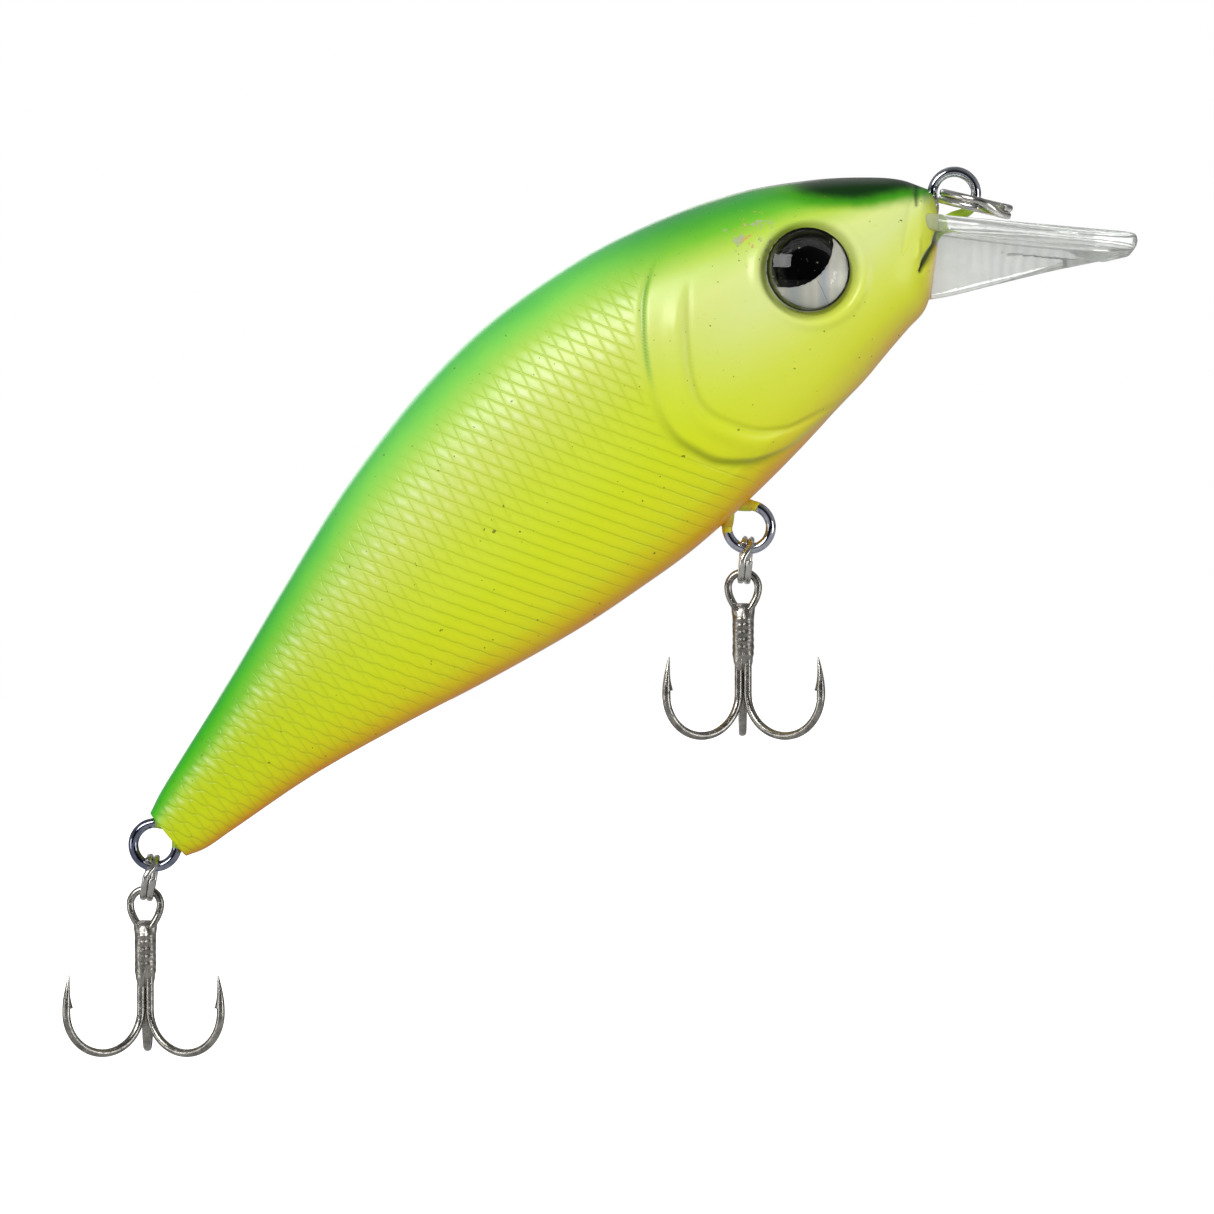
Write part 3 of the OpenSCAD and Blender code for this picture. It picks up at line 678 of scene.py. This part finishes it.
def place_on_body(name, path):
    """Turns (x, z) of the eye's frame into the hanging lure: x along the legs."""
    s, v = wire_eye_centre(name)
    a = math.radians(EYES[name])
    c, k = math.cos(a), math.sin(a)
    return hang(s + path[:, 0] * c + path[:, 1] * k, 0, v - path[:, 0] * k + path[:, 1] * c)


print("belly eye centre (s, v):", [round(float(c), 2) for c in wire_eye_centre("belly_eye")])

# %% [markdown]
# ## Bright wire with painted reflections, nickel and hook steel
# Polished wire shows the room as long dark and light streaks, so its roughness is
# low and its fine drawing lines run along it. Its base tones are also painted dark
# and bluish, a painted reflection, and darker from the nose eye to the tail eye as
# painted shade. The split rings are nickel plated and a little rougher; the hooks
# are darker, with a grain from tumbling and plating that gathers in patches.

# %% Metal finishes


def metal(name, light, dark, rough, grain, pitted=0.0, coated=None):
    """Metallic base between two tones by patchy noise; fine bump; an optional coat of
    paint where the mark says so."""
    f = Finish(name, Metallic=1.0)
    patch = f.scaled(f.noise(grain * .35, 4, .6), .6, f.times(f.noise(grain, 5, .7), .5))
    tone = f.mix(f.between(patch, .38, .7), dark, light)
    rough_out = f.scaled(f.noise(grain * 1.4, 3), .16 if pitted else .03, rough)
    if coated is not None:
        edge = f.scaled(f.less(f.noise(1500, 3), .5), .8, f.mark("paint"))
        cover = f.between(edge, .4, .62)
        spray = f.mix(f.noise(600, 2), coated[0], coated[1])
        tone = f.mix(cover, tone, spray)
        f.set("Metallic", f.less(1.0, cover))
        rough_out = f.scaled(cover, .2, rough_out)
    f.set("Base Color", tone)
    f.set("Roughness", rough_out)
    pits = f.between(f.noise(grain * 2.2, 3, .6), .40, .30)
    height = f.scaled(pits, -pitted, f.noise(grain * .8, 4, .65))
    f.set("Normal", f.bump(height, .00004, .1 + .6 * pitted))
    return f.mat


# tones painted dark and bluish as a painted reflection, and darker from the nose eye to the tail
# eye as painted shade
spring_wire_painted_reflection = {
    "line_tie_eye": metal("spring wire at the nose", (.74, .77, .84, 1), (.40, .43, .50, 1), .04,
                          900, coated=(paint(150, 190, 20), paint(190, 222, 60))),
    "belly_eye": metal("spring wire under the belly", (.66, .68, .78, 1), (.26, .28, .40, 1), .03,
                       700, coated=(paint(206, 186, 0), paint(222, 218, 40))),
    "tail_eye": metal("spring wire at the tail", (.44, .47, .56, 1), (.10, .11, .20, 1), .03,
                      700, coated=(paint(110, 150, 20), paint(160, 186, 90)))}
ring_nickel = metal("ring nickel", (.80, .79, .76, 1), (.50, .49, .46, 1), .14, 1500, .3)
hook_nickel = metal("hook nickel", (.50, .48, .44, 1), (.22, .21, .19, 1), .16, 1900, .8)
braze_metal = metal("braze", (.46, .44, .40, 1), (.22, .21, .19, 1), .24, 1300, .9)

# %% The three wire eyes
# How far paint covers each wire: centre angle of the cover and its half width,
# measured round the loop from the legs, in degrees.
PAINTED = {"line_tie_eye": (45, 60), "belly_eye": (0, 62), "tail_eye": (0, 48)}
for name in EYES:
    path = omega()
    at = place_on_body(name, path)
    turn = np.degrees(np.arctan2(path[:, 1], path[:, 0]))
    mid, half = PAINTED[name]
    gap = np.abs((turn - mid + 180) % 360 - 180)
    cover = np.maximum(ease(half + 14, half - 10, gap), ease(2.2, 2.8, path[:, 0]))
    grid = wire_rings(at, WIRE * MM, (0, 1, 0), around=28)
    piece("wire_" + name, grid, spring_wire_painted_reflection[name], "lure", [name],
          marks={"paint": np.repeat(cover[:, None], 28, 1)})

# %% [markdown]
# ## Painted roots
# Where a wire enters the body the mould leaves a small flared boss, and paint
# fills the corner. It could be a boolean and a bevel; a tapered sleeve along the
# same wire path is simpler and keeps the flare round.

# %% Flared roots


def root_material(name, low, high):
    """Sprayed paint over a rough fillet."""
    f = Finish(name, Roughness=.36, Coat_Weight=.4, Coat_Roughness=.15)
    f.set("Base Color", f.mix(f.between(f.noise(520, 4, .6), .36, .64), low, high))
    f.set("Normal", f.bump(f.noise(1400, 4), .00008, .5))
    return f.mat


def root_sleeves(name, start, wide, finish):
    """Both legs of the wire from the body out to an angle on the loop: the sleeve's
    radius falls from wide to the wire's own as (1 - k)^1.6."""
    path = omega()
    for i, half in enumerate((path[:len(path) // 2], path[len(path) // 2:][::-1])):
        angle = np.degrees(np.arctan2(np.abs(half[:, 1]), half[:, 0]))
        keep = half[(half[:, 0] < 4.2) & ((angle < start) | (half[:, 0] > 1.9))]
        k = np.linspace(0, 1, len(keep))
        r = (WIRE + .03) + (wide - WIRE) * (1 - k) ** 1.6
        r[-1] = WIRE * .98
        piece(f"root_{name}_{i + 1}", wire_rings(place_on_body(name, keep), r * MM, (0, 1, 0), 28),
              finish, "lure")


root_sleeves("belly_eye", 52, 1.25, root_material("root paint, belly", paint(206, 170, 10),
                                                 paint(204, 212, 30)))
root_sleeves("tail_eye", 46, 1.1, root_material("root paint, tail", paint(120, 170, 20),
                                               paint(176, 200, 60)))

# %% [markdown]
# ## Split rings
# A split ring is two turns of wire side by side. Its ends butt against the one
# place where the wire crosses from one side to the other. A torus would lose
# that, so the path runs twice round, and its offset along the axis eases from
# one side to the other within the crossing.

# %% Two turns of wire


def split_ring(name, centre, outer, wire, across, cross_at, body, node, lean=0.0):
    """Path at angle a over two turns less the crossing: centre + R (cos a e1 + sin a e2)
    + offset(a) e3, offset = -w before the crossing and +w after it."""
    e1, e2, e3 = (np.array(e, float) for e in across)
    R, gap, n = outer - wire, math.radians(25), 330
    a = np.linspace(gap * .9, 4 * np.pi - gap * .9, n)
    side = -1 + 2 * ease(2 * np.pi - gap, 2 * np.pi + gap, a)
    b = a + math.radians(cross_at)
    ring = R * (np.cos(b)[:, None] * e1 + np.sin(b)[:, None] * e2)
    path = ring + (wire * .985 * side)[:, None] * e3
    c, k = math.cos(math.radians(lean)), math.sin(math.radians(lean))
    path = np.stack([path[:, 0] * c + path[:, 2] * k, path[:, 1],
                     -path[:, 0] * k + path[:, 2] * c], -1)
    axis = np.array([e3[0] * c + e3[2] * k, e3[1], -e3[0] * k + e3[2] * c])
    r = np.full(n, wire * MM)
    r[0] = r[-1] = wire * MM * .8
    path[0] = path[1] + (path[0] - path[1]) * .5
    path[-1] = path[-2] + (path[-1] - path[-2]) * .5
    grid = wire_rings(np.array(centre) + path * MM, r, axis, 18, squareness=2.6)
    return piece(name, grid, ring_nickel, body, [node])


def middle(node):
    lo, hi = (np.array(c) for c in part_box(node))
    return (lo + hi) / 2


REST_TILT = math.radians(13.5)            # how the line ring lies against the lip
LEAN = {"belly": 5.4, "tail": 9.5}        # how far each hook ring leans, in degrees
RING_DROP = 5.808                         # from a wire eye's centre to the hook eye's, mm
c, k = math.cos(REST_TILT), math.sin(REST_TILT)
split_ring("ring_at_nose", middle("line_ring"), 3.6, .36,
           [(c, 0, -k), (0, -1, 0), (k, 0, c)], 62, "line_ring", "line_ring")
for place in ("belly", "tail"):
    split_ring(f"ring_at_{place}", middle(f"{place}_ring"), 2.3, .33,
               [(0, -1, 0), (0, 0, 1), (1, 0, 0)], 24, f"{place}_ring", f"{place}_ring",
               LEAN[place])

# %% [markdown]
# ## Treble hooks
# A treble is one wire bent into two hooks with a teardrop eye, and a third hook
# brazed to it. Each hook is a shank, a half-round bend and a rising point. The
# point is ground to a needle, and a barb is cut just behind it, so the ring's
# radius swells on its inner side there and drops at once.

# %% Hook paths
HOOK_WIRE, SPREAD, RISE, SHANK, EYE_R, EYE_H = .4, 8.55, 3.65, 7.9, 1.45, 2.25
SHANK_OFF = HOOK_WIRE * 1.22
BEND = (SPREAD - SHANK_OFF) / 2


def hook_arm(azimuth):
    """From tip to shank top in the plane at the azimuth: points, radius, barb swell and
    its side. Bend: r = off + R + R cos t, z = R sin t, t from 0 to -180 degrees."""
    d = np.array([math.cos(azimuth), math.sin(azimuth), 0])
    down = np.array([0, .06, .15, .35, .65, 1.0, 1.4, 1.8, 2.2, 2.5, 2.75, 2.95, 3.1, 3.2,
                     3.24, 3.34])
    r = through([[0, .03], [.35, .11], [1, .2], [1.8, .3], [2.6, .375], [3.3, .4]], down)
    barb = np.clip((down - 1.7) / 1.5, 0, 1) ** 1.6 * (down < 3.22)
    lean = .32 * (1 - down / RISE) ** 2
    up = (SPREAD - lean)[:, None] * d + np.stack([0 * down, 0 * down, RISE - down], -1)
    t = -np.linspace(0, np.pi, 60)
    bend = (SHANK_OFF + BEND + BEND * np.cos(t))[:, None] * d
    bend[:, 2] = BEND * np.sin(t)
    shank = SHANK_OFF * d + np.array([[0, 0, z] for z in np.linspace(.4, SHANK - .3, 14)])
    path = np.concatenate([up, bend, shank])
    plain = len(bend) + len(shank)
    radius = np.concatenate([r, np.full(plain, HOOK_WIRE)])
    swell = np.concatenate([barb * .7, np.zeros(plain)])
    toward = np.tile(-d, (len(path), 1))
    return path, radius, swell, toward


def eye_half(side, n=22):
    """From the shank up to the eye's widest point: the share e = sin(90 k degrees)^0.85
    of the way out, so that the hole keeps a broad foot."""
    k = np.linspace(0, 1, n)
    e = np.sin(np.pi / 2 * k) ** .85
    x = side * (SHANK_OFF * math.cos(math.pi / 6) * (1 - e) + EYE_R * e)
    return np.stack([x, -SHANK_OFF * .5 * (1 - e), SHANK + EYE_H * k], -1)


def double_hook():
    """Tip, bend, shank, round the eye and down to the other tip, as one wire."""
    a = hook_arm(math.radians(-30))
    b = hook_arm(math.radians(210))
    t = np.linspace(0, np.pi, 32)[1:-1]
    top = np.stack([EYE_R * np.cos(t), 0 * t, SHANK + EYE_H + EYE_R * np.sin(t)], -1)
    eye = np.concatenate([eye_half(1), top, eye_half(-1)[::-1]])
    path = np.concatenate([a[0], eye, b[0][::-1]])
    r = np.concatenate([a[1], np.full(len(eye), .37), b[1][::-1]])
    swell = np.concatenate([a[2], np.zeros(len(eye)), b[2][::-1]])
    way = np.concatenate([a[3], np.tile([0, 1.0, 0], (len(eye), 1)), b[3][::-1]])
    return path, r, swell, way


def treble_origin(place):
    """Middle of the bends: down the leaning ring from the wire eye, then straight down
    by the shank and the hook's eye."""
    p = np.array(joints[f"{place}_ring_swing"]["pos_m"])
    a = math.radians(LEAN[place])
    down = RING_DROP * math.cos(a) + SHANK + EYE_H
    return p - np.array([RING_DROP * math.sin(a), 0, down]) * MM


print("bend radius", round(BEND, 3), "mm")

# %% Shanks, bends, points and braze


def wire_hook(name, parts, origin, side, body, nodes):
    path, r, swell, way = parts
    at = origin + path * MM
    grid = wire_rings(at, r * MM, side, 20, squareness=2.15, bulge=(swell, way))
    return piece(name, grid, hook_nickel, body, nodes)


BRAZE_LOW, BRAZE_TOP = 1.9, 8.62          # over the middle of the bends


def braze_bundle(origin, name, body, node):
    """Solder round three wires. At angle a the radius is part circle and part the edge
    of three circles at 120 degrees, off cos x + sqrt(R^2 - off^2 sin^2 x), x being the
    angle to the nearest wire. It broadens into a web under the hook's eye and is
    ragged where it runs out on the shanks."""
    z = BRAZE_LOW + (BRAZE_TOP - BRAZE_LOW) * np.linspace(0, 1, 110)[:, None]
    a = np.linspace(0, 2 * np.pi, 96, endpoint=False)[None]
    x = (a - math.radians(90) + np.pi / 3) % (2 * np.pi / 3) - np.pi / 3
    R = .30 + .19 * ease(2.0, 3.4, z + .5 * np.sin(3 * a + 1))
    three = SHANK_OFF * np.cos(x) + np.sqrt(np.clip(R**2 - (SHANK_OFF * np.sin(x)) ** 2, .012, 1))
    fill = ease(2.2, 4.2, z + .7 * np.sin(2 * a)) * .8
    solid = 1 / np.sqrt((np.cos(a) / 1.08) ** 2 + (np.sin(a) / .94) ** 2)
    r = three * (1 - fill) + (solid + .02 * np.sin(9 * z)) * fill
    web = ease(7.0, 8.2, z)
    r_web = 1 / np.sqrt((np.cos(a) / 1.16) ** 2 + (np.sin(a) / .62) ** 2)
    r = r * (1 - web) + r_web * web
    r = r * np.sqrt(np.clip((8.64 - z) / .12, .02, 1)) * np.clip(.5 + (z - BRAZE_LOW) / .5, .5, 1)
    r = r * (1 + .018 * np.sin(5.3 * z + 2 * a) * np.sin(4 * a - 3 * z))
    grid = np.stack([r * np.cos(a), r * np.sin(a), z + 0 * a], -1)
    return piece(name, origin + grid * MM, braze_metal, body, [node])


for place in ("belly", "tail"):
    origin = treble_origin(place)
    wire_hook(f"treble_pair_{place}", double_hook(), origin, (0, 1, 0), f"{place}_treble",
              [f"{place}_double_hook"])
    one = hook_arm(math.radians(90))
    wire_hook(f"treble_third_{place}", one, origin, (1, 0, 0), f"{place}_treble",
              [f"{place}_single_hook"])
    braze_bundle(origin, f"braze_{place}_shanks", f"{place}_treble", f"{place}_braze")

# %% [markdown]
# ## Glued eyes
# Each eye is three things: a pearly foil disc, a black print that makes the pupil
# look up and back, and a clear dome cast over both. All three are discs about one
# axis, so each is a grid of rings and spokes, with its height as a function of the
# radius. The axis leans towards the nose, because the flank narrows there.

# %% Discs on the eye's axis
EYE_YAW, FOIL_R, PUPIL_R, PUPIL_AT = math.radians(11), 4.06, 4.34, (.2, 3.3)
seat = float(flank(np.array(EYE[0]), np.array(EYE[1]))) - .9


def on_eye(side, x, y, out):
    """x along the body, y up, out along the eye's axis from its seat."""
    c, k = math.cos(EYE_YAW), math.sin(EYE_YAW)
    return hang(EYE[0] + x * c + out * k, side * (seat + out * c - x * k), EYE[1] + y)


def disc(side, radius, height, centre=(0, 0), rings=40, spokes=120):
    """Point = centre + k radius(angle), out = height(k), k from 0 to 1: front face, then
    a rolled edge and a flat back, closed at both poles."""
    a = np.linspace(0, 2 * np.pi, spokes, endpoint=False)[None]
    rim = radius(a)
    front = np.sin(np.linspace(.002, np.pi / 2, rings))[:, None]
    x = centre[0] + front * rim * np.cos(a)
    y = centre[1] + front * rim * np.sin(a)
    out = height(front) + 0 * x
    back = np.array([1, .5, .002])[:, None]
    x = np.concatenate([x, centre[0] + back * rim * np.cos(a)])
    y = np.concatenate([y, centre[1] + back * rim * np.sin(a)])
    out = np.concatenate([out, height(None) + 0 * back + 0 * rim])
    grid = on_eye(side, x, y, out)
    return grid, {"ex": x, "ey": y}


def pupil_rim(a):
    """Distance from (0.1, 1.0) to the nearer of two circles: the print's own and the
    foil's, with a slightly ragged edge."""
    cx, cy = .1, 1.0
    ux, uy = np.cos(a), np.sin(a)

    def reach(px, py, r):
        dx, dy = cx - px, cy - py
        h = dx * ux + dy * uy
        return -h + np.sqrt(h * h - (dx * dx + dy * dy - r * r))

    ragged = .03 * np.sin(23 * a + 1) + .02 * np.sin(57 * a) + .015 * np.sin(91 * a + 2)
    return np.minimum(reach(0, 0, FOIL_R - .03), reach(*PUPIL_AT, PUPIL_R)) + ragged


DOME_H = 1.2
DOME_BALL = (FOIL_R**2 + DOME_H**2) / (2 * DOME_H)


def dome_height(k):
    """A spherical cap 1.2 high over the foil's radius, ending in a thin edge."""
    if k is None:
        return .54
    return .62 + DOME_H - DOME_BALL + np.sqrt(DOME_BALL**2 - (k * (FOIL_R - .03)) ** 2)


print("eye seat stands", round(seat, 2), "mm from the mid-plane")

# %% [markdown]
# ## Foil, print and dome finishes
# The foil is pearly silver-white, and its tone, which shifts as a gradient over the
# disc, is a painted sheen. It has an old crack in its lacquer. The print is gloss
# black, chipped at its lower rear edge. The dome is clear resin; its outer ring is
# tinted dark olive, a painted shade round the eye's edge.

# %% Eye finishes


def foil_finish(name):
    f = Finish(name, Metallic=.2, Specular_IOR_Level=.25)
    x, y = f.mark("ex"), f.mark("ey")
    # painted sheen: the tone runs as a gradient across the disc
    painted_sheen = f.math("SINE", f.scaled(x, .9, f.times(y, -.7)))
    tone = f.ramp(f.scaled(painted_sheen, .5, .5), [
        (0, paint(176, 180, 180)), (.3, paint(206, 204, 192)), (.6, paint(200, 199, 190)),
        (.85, paint(212, 208, 194)), (1, paint(180, 184, 188))])
    tone = f.mix(f.times(f.between(f.noise(700, 5, .7), .5, .7), .25), tone,
                 paint(186, 180, 166))
    wander = f.times(f.less(f.noise(1100, 3), .5), .5)
    line = f.scaled(y, -.27, f.scaled(x, 1.0, -.4))
    line = f.plus(line, wander)
    crack = f.times(f.between(f.math("ABSOLUTE", line), .045, .01), f.between(y, -1.0, -1.5))
    tone = f.mix(f.times(crack, .8), tone, paint(120, 116, 104))
    f.set("Base Color", tone)
    f.set("Roughness", f.scaled(f.noise(900, 3), .2, .3))
    f.set("Normal", f.bump(f.less(f.noise(500, 4), crack), .00005, .4))
    return f.mat


def print_finish(name):
    f = Finish(name, Specular_IOR_Level=.0)
    x, y = f.mark("ex"), f.mark("ey")
    edge = f.between(f.scaled(x, -.8, f.times(y, .25)), 2.3, 3.5)
    chip = f.between(f.scaled(edge, .22, f.noise(2600, 4, .7)), .66, .70)
    f.set("Base Color", f.mix(chip, paint(2, 2, 3), paint(186, 190, 170)))
    f.set("Roughness", f.scaled(f.noise(1500, 2), .12, .2))
    f.set("Normal", f.bump(f.noise(1800, 4), .00003, .3))
    return f.mat


def dome_finish(name):
    f = Finish(name, IOR=1.3, Transmission_Weight=1.0)
    x, y = f.mark("ex"), f.mark("ey")
    out = f.math("SQRT", f.scaled(x, x, f.times(y, y)))
    clear = f.mix(f.noise(300, 2), paint(255, 255, 254), paint(248, 250, 247))
    # painted shade: the dome's outer ring is tinted dark olive round the eye's edge
    f.set("Base Color", f.mix(f.between(out, 3.72, 3.9), clear, paint(52, 54, 36)))
    f.set("Roughness", f.times(f.between(f.noise(1400, 5, .7), .62, .8), .12))
    f.set("Normal", f.bump(f.noise(380, 3), .00006, .2))
    return f.mat


foil_pearl, pupil_black = foil_finish("pearl foil"), print_finish("black print")
clear_dome = dome_finish("clear dome")
for side, word in ((-1, "right"), (1, "left")):
    turned = side < 0
    grid, marks = disc(side, lambda a: FOIL_R - .02 + 0 * a,
                       lambda k: .02 if k is None else .4 - .05 * k**8)
    piece(f"foil_{word}", grid, foil_pearl, "lure", [f"eye_foil_{word}"], marks=marks,
          flip=turned)
    grid, marks = disc(side, pupil_rim, lambda k: .41 if k is None else .5 - .03 * k**12,
                       (.1, 1.0))
    piece(f"pupil_{word}", grid, pupil_black, "lure", [f"eye_pupil_{word}"], marks=marks,
          flip=turned)
    grid, marks = disc(side, lambda a: FOIL_R - .03 + 0 * a, dome_height, rings=60)
    piece(f"dome_{word}", grid, clear_dome, "lure", [f"eye_dome_{word}"], marks=marks,
          flip=turned)

# %% [markdown]
# ## Inside the body
# Ballast rods keep the lure upright and three steel balls rattle in their cells.
# They can't be seen in the closed lure, but they are real parts, so they keep
# their CAD shapes and get honest finishes.

# %% Ballast and rattles


def dull_metal(name, light, dark, rough, grain):
    f = Finish(name, Metallic=1.0)
    f.set("Base Color", f.mix(f.between(f.noise(grain, 5, .65), .35, .65), dark, light))
    f.set("Roughness", f.scaled(f.noise(grain * 2, 3), .2, rough))
    f.set("Normal", f.bump(f.noise(grain * 1.5, 4), .00005, .4))
    return f.mat


lead = dull_metal("cast ballast", paint(150, 152, 158), paint(96, 98, 104), .42, 700)
ball_steel = dull_metal("rattle steel", paint(206, 206, 208), paint(160, 160, 164), .12, 900)
for node, mat in (("ballast_front", lead), ("ballast_rear", lead),
                  ("rattle_ball_front", ball_steel), ("rattle_ball_mid", ball_steel),
                  ("rattle_ball_rear", ball_steel)):
    for slot in bpy.data.objects[node].material_slots:
        slot.material = mat
    print("finished", node)

# %% [markdown]
# ## A pale studio
# The lure hangs over a plain pale floor. A soft box high on the left front draws
# the long highlight on the flank. Fills at the right, the left, low in front and
# on the far side keep the shadows open, and a weak one overhead touches the back.
# Wire and nickel need something dark to reflect, so reflections see a room with
# darker bands that dims towards the camera's side. Matt surfaces see an even pale
# room, and the camera and the clear plastic see white behind the lure. The kind of
# ray picks between them, on the floor and in the room only.

# %% Floor, room and lights
FLOOR_Z = -.26                            # the floor's height in metres
floor = bpy.data.meshes.new("pale_floor")
g = np.linspace(-4, 4, 9)
fx, fy = np.meshgrid(g, g)
n = len(g)
k = np.arange(n * n).reshape(n, n)
quads = np.stack([k[:-1, :-1], k[:-1, 1:], k[1:, 1:], k[1:, :-1]], -1).reshape(-1, 4)
floor.from_pydata(np.stack([fx, fy, 0 * fx + FLOOR_Z], -1).reshape(-1, 3).tolist(), [],
                  quads.tolist())
floor_obj = bpy.data.objects.new("pale_floor", floor)
bpy.context.scene.collection.objects.link(floor_obj)
pale = Finish("pale studio floor", Roughness=.8)
pale.set("Emission Color", (1, 1, 1, 1))
ray = pale.node("ShaderNodeLightPath").node
seen = pale.math("MAXIMUM", ray.outputs["Is Camera Ray"], ray.outputs["Is Transmission Ray"])
pale.set("Emission Strength", pale.scaled(seen, .92, .08))
plain = pale.mix(pale.noise(3, 2), paint(247, 247, 247), paint(244, 244, 244))
pale.set("Base Color", pale.mix(seen, paint(150, 150, 148), plain))
floor.materials.append(pale.mat)


class Room(Finish):
    """The world's own tree, built with the same helpers as a finish."""

    def __init__(self, name):
        bpy.context.scene.world = world = bpy.data.worlds.new(name)
        world.use_nodes = True
        self.tree = world.node_tree
        self.shader = self.tree.nodes["Background"]


ROOM_TONES = [(0, .4), (.38, .3), (.47, .1), (.53, .1), (.62, .32), (.8, .26), (1, .16)]
room = Room("studio")
way = room.node("ShaderNodeSeparateXYZ", inputs=[room.node("ShaderNodeTexCoord")]).node
rise_share = room.scaled(way.outputs[2], .5, .5)
tones = room.ramp(rise_share, [(p, (c, c, c, 1)) for p, c in ROOM_TONES])
ray = room.node("ShaderNodeLightPath").node
rear = room.node("ShaderNodeMapRange", inputs=(way.outputs[1], -.1, .15, 0.0, 1.0))
behind = room.times(ray.outputs["Is Transmission Ray"], rear)     # white only behind
seen = room.math("MAXIMUM", ray.outputs["Is Camera Ray"], behind)
front = room.between(way.outputs[1], -.35, -.9, 1.0, .1)          # the side that dims
dim = room.node("ShaderNodeMix", out=2, data_type="RGBA", blend_type="MULTIPLY",
                inputs={0: 1, 6: tones, 7: front})
even = room.mix(ray.outputs["Is Diffuse Ray"], dim, (.72, .72, .74, 1))
room.set("Color", room.mix(seen, even, (1, 1, 1, 1)))
room.set("Strength", 1.0)

MID = np.array([-.0333, 0, -.0397])       # what the lamps and the camera aim at


def soft_box(name, way, distance, size, power, tall=None):
    """A rectangular lamp at MID + way * distance, turned to face MID."""
    lamp = bpy.data.lights.new(name, "AREA")
    lamp.shape, lamp.size, lamp.size_y = "RECTANGLE", size, tall or size
    lamp.energy = power
    obj = bpy.data.objects.new(name, lamp)
    bpy.context.scene.collection.objects.link(obj)
    w = np.array(way, float)
    w /= np.linalg.norm(w)
    obj.location = (MID + w * distance).tolist()
    obj.rotation_euler = Vector(w.tolist()).to_track_quat("Z", "Y").to_euler()
    return obj


soft_box("upper_left_front", (-.38, -.86, .46), .9, .42, 3.7, .3)
soft_box("right_fill", (.85, -.6, -.05), 1.1, .5, 2.2)
soft_box("left_fill", (-.9, -.45, -.1), 1.1, .5, 1.7)
soft_box("low_front_fill", (.1, -.75, -.75), 1.0, .6, 2.3)
soft_box("left_side_fill", (-.3, .9, .15), 1.1, .7, 2.6)
soft_box("overhead_back", (-.2, .75, .9), 1.0, .6, .3)

# %% [markdown]
# ## The camera
# A long lens looks level at the flank from a little above, so that the lure
# shows in profile. The view transform stays plain, to keep the lime saturated.

# %% Camera and view
cam = bpy.data.cameras.new("profile_camera")
cam.lens, cam.sensor_width = 300, 36
camera = bpy.data.objects.new("profile_camera", cam)
bpy.context.scene.collection.objects.link(camera)
rise, far = math.radians(2.5), .9725      # how far above level, and how far away
camera.location = (MID + far * np.array([0, -math.cos(rise), math.sin(rise)])).tolist()
camera.rotation_euler = (math.pi / 2 - rise, 0, 0)
cam.clip_start, cam.clip_end = .01, 50
bpy.context.scene.camera = camera
view = bpy.context.scene.view_settings
view.view_transform, view.look, view.exposure, view.gamma = "Standard", "None", 0, 1
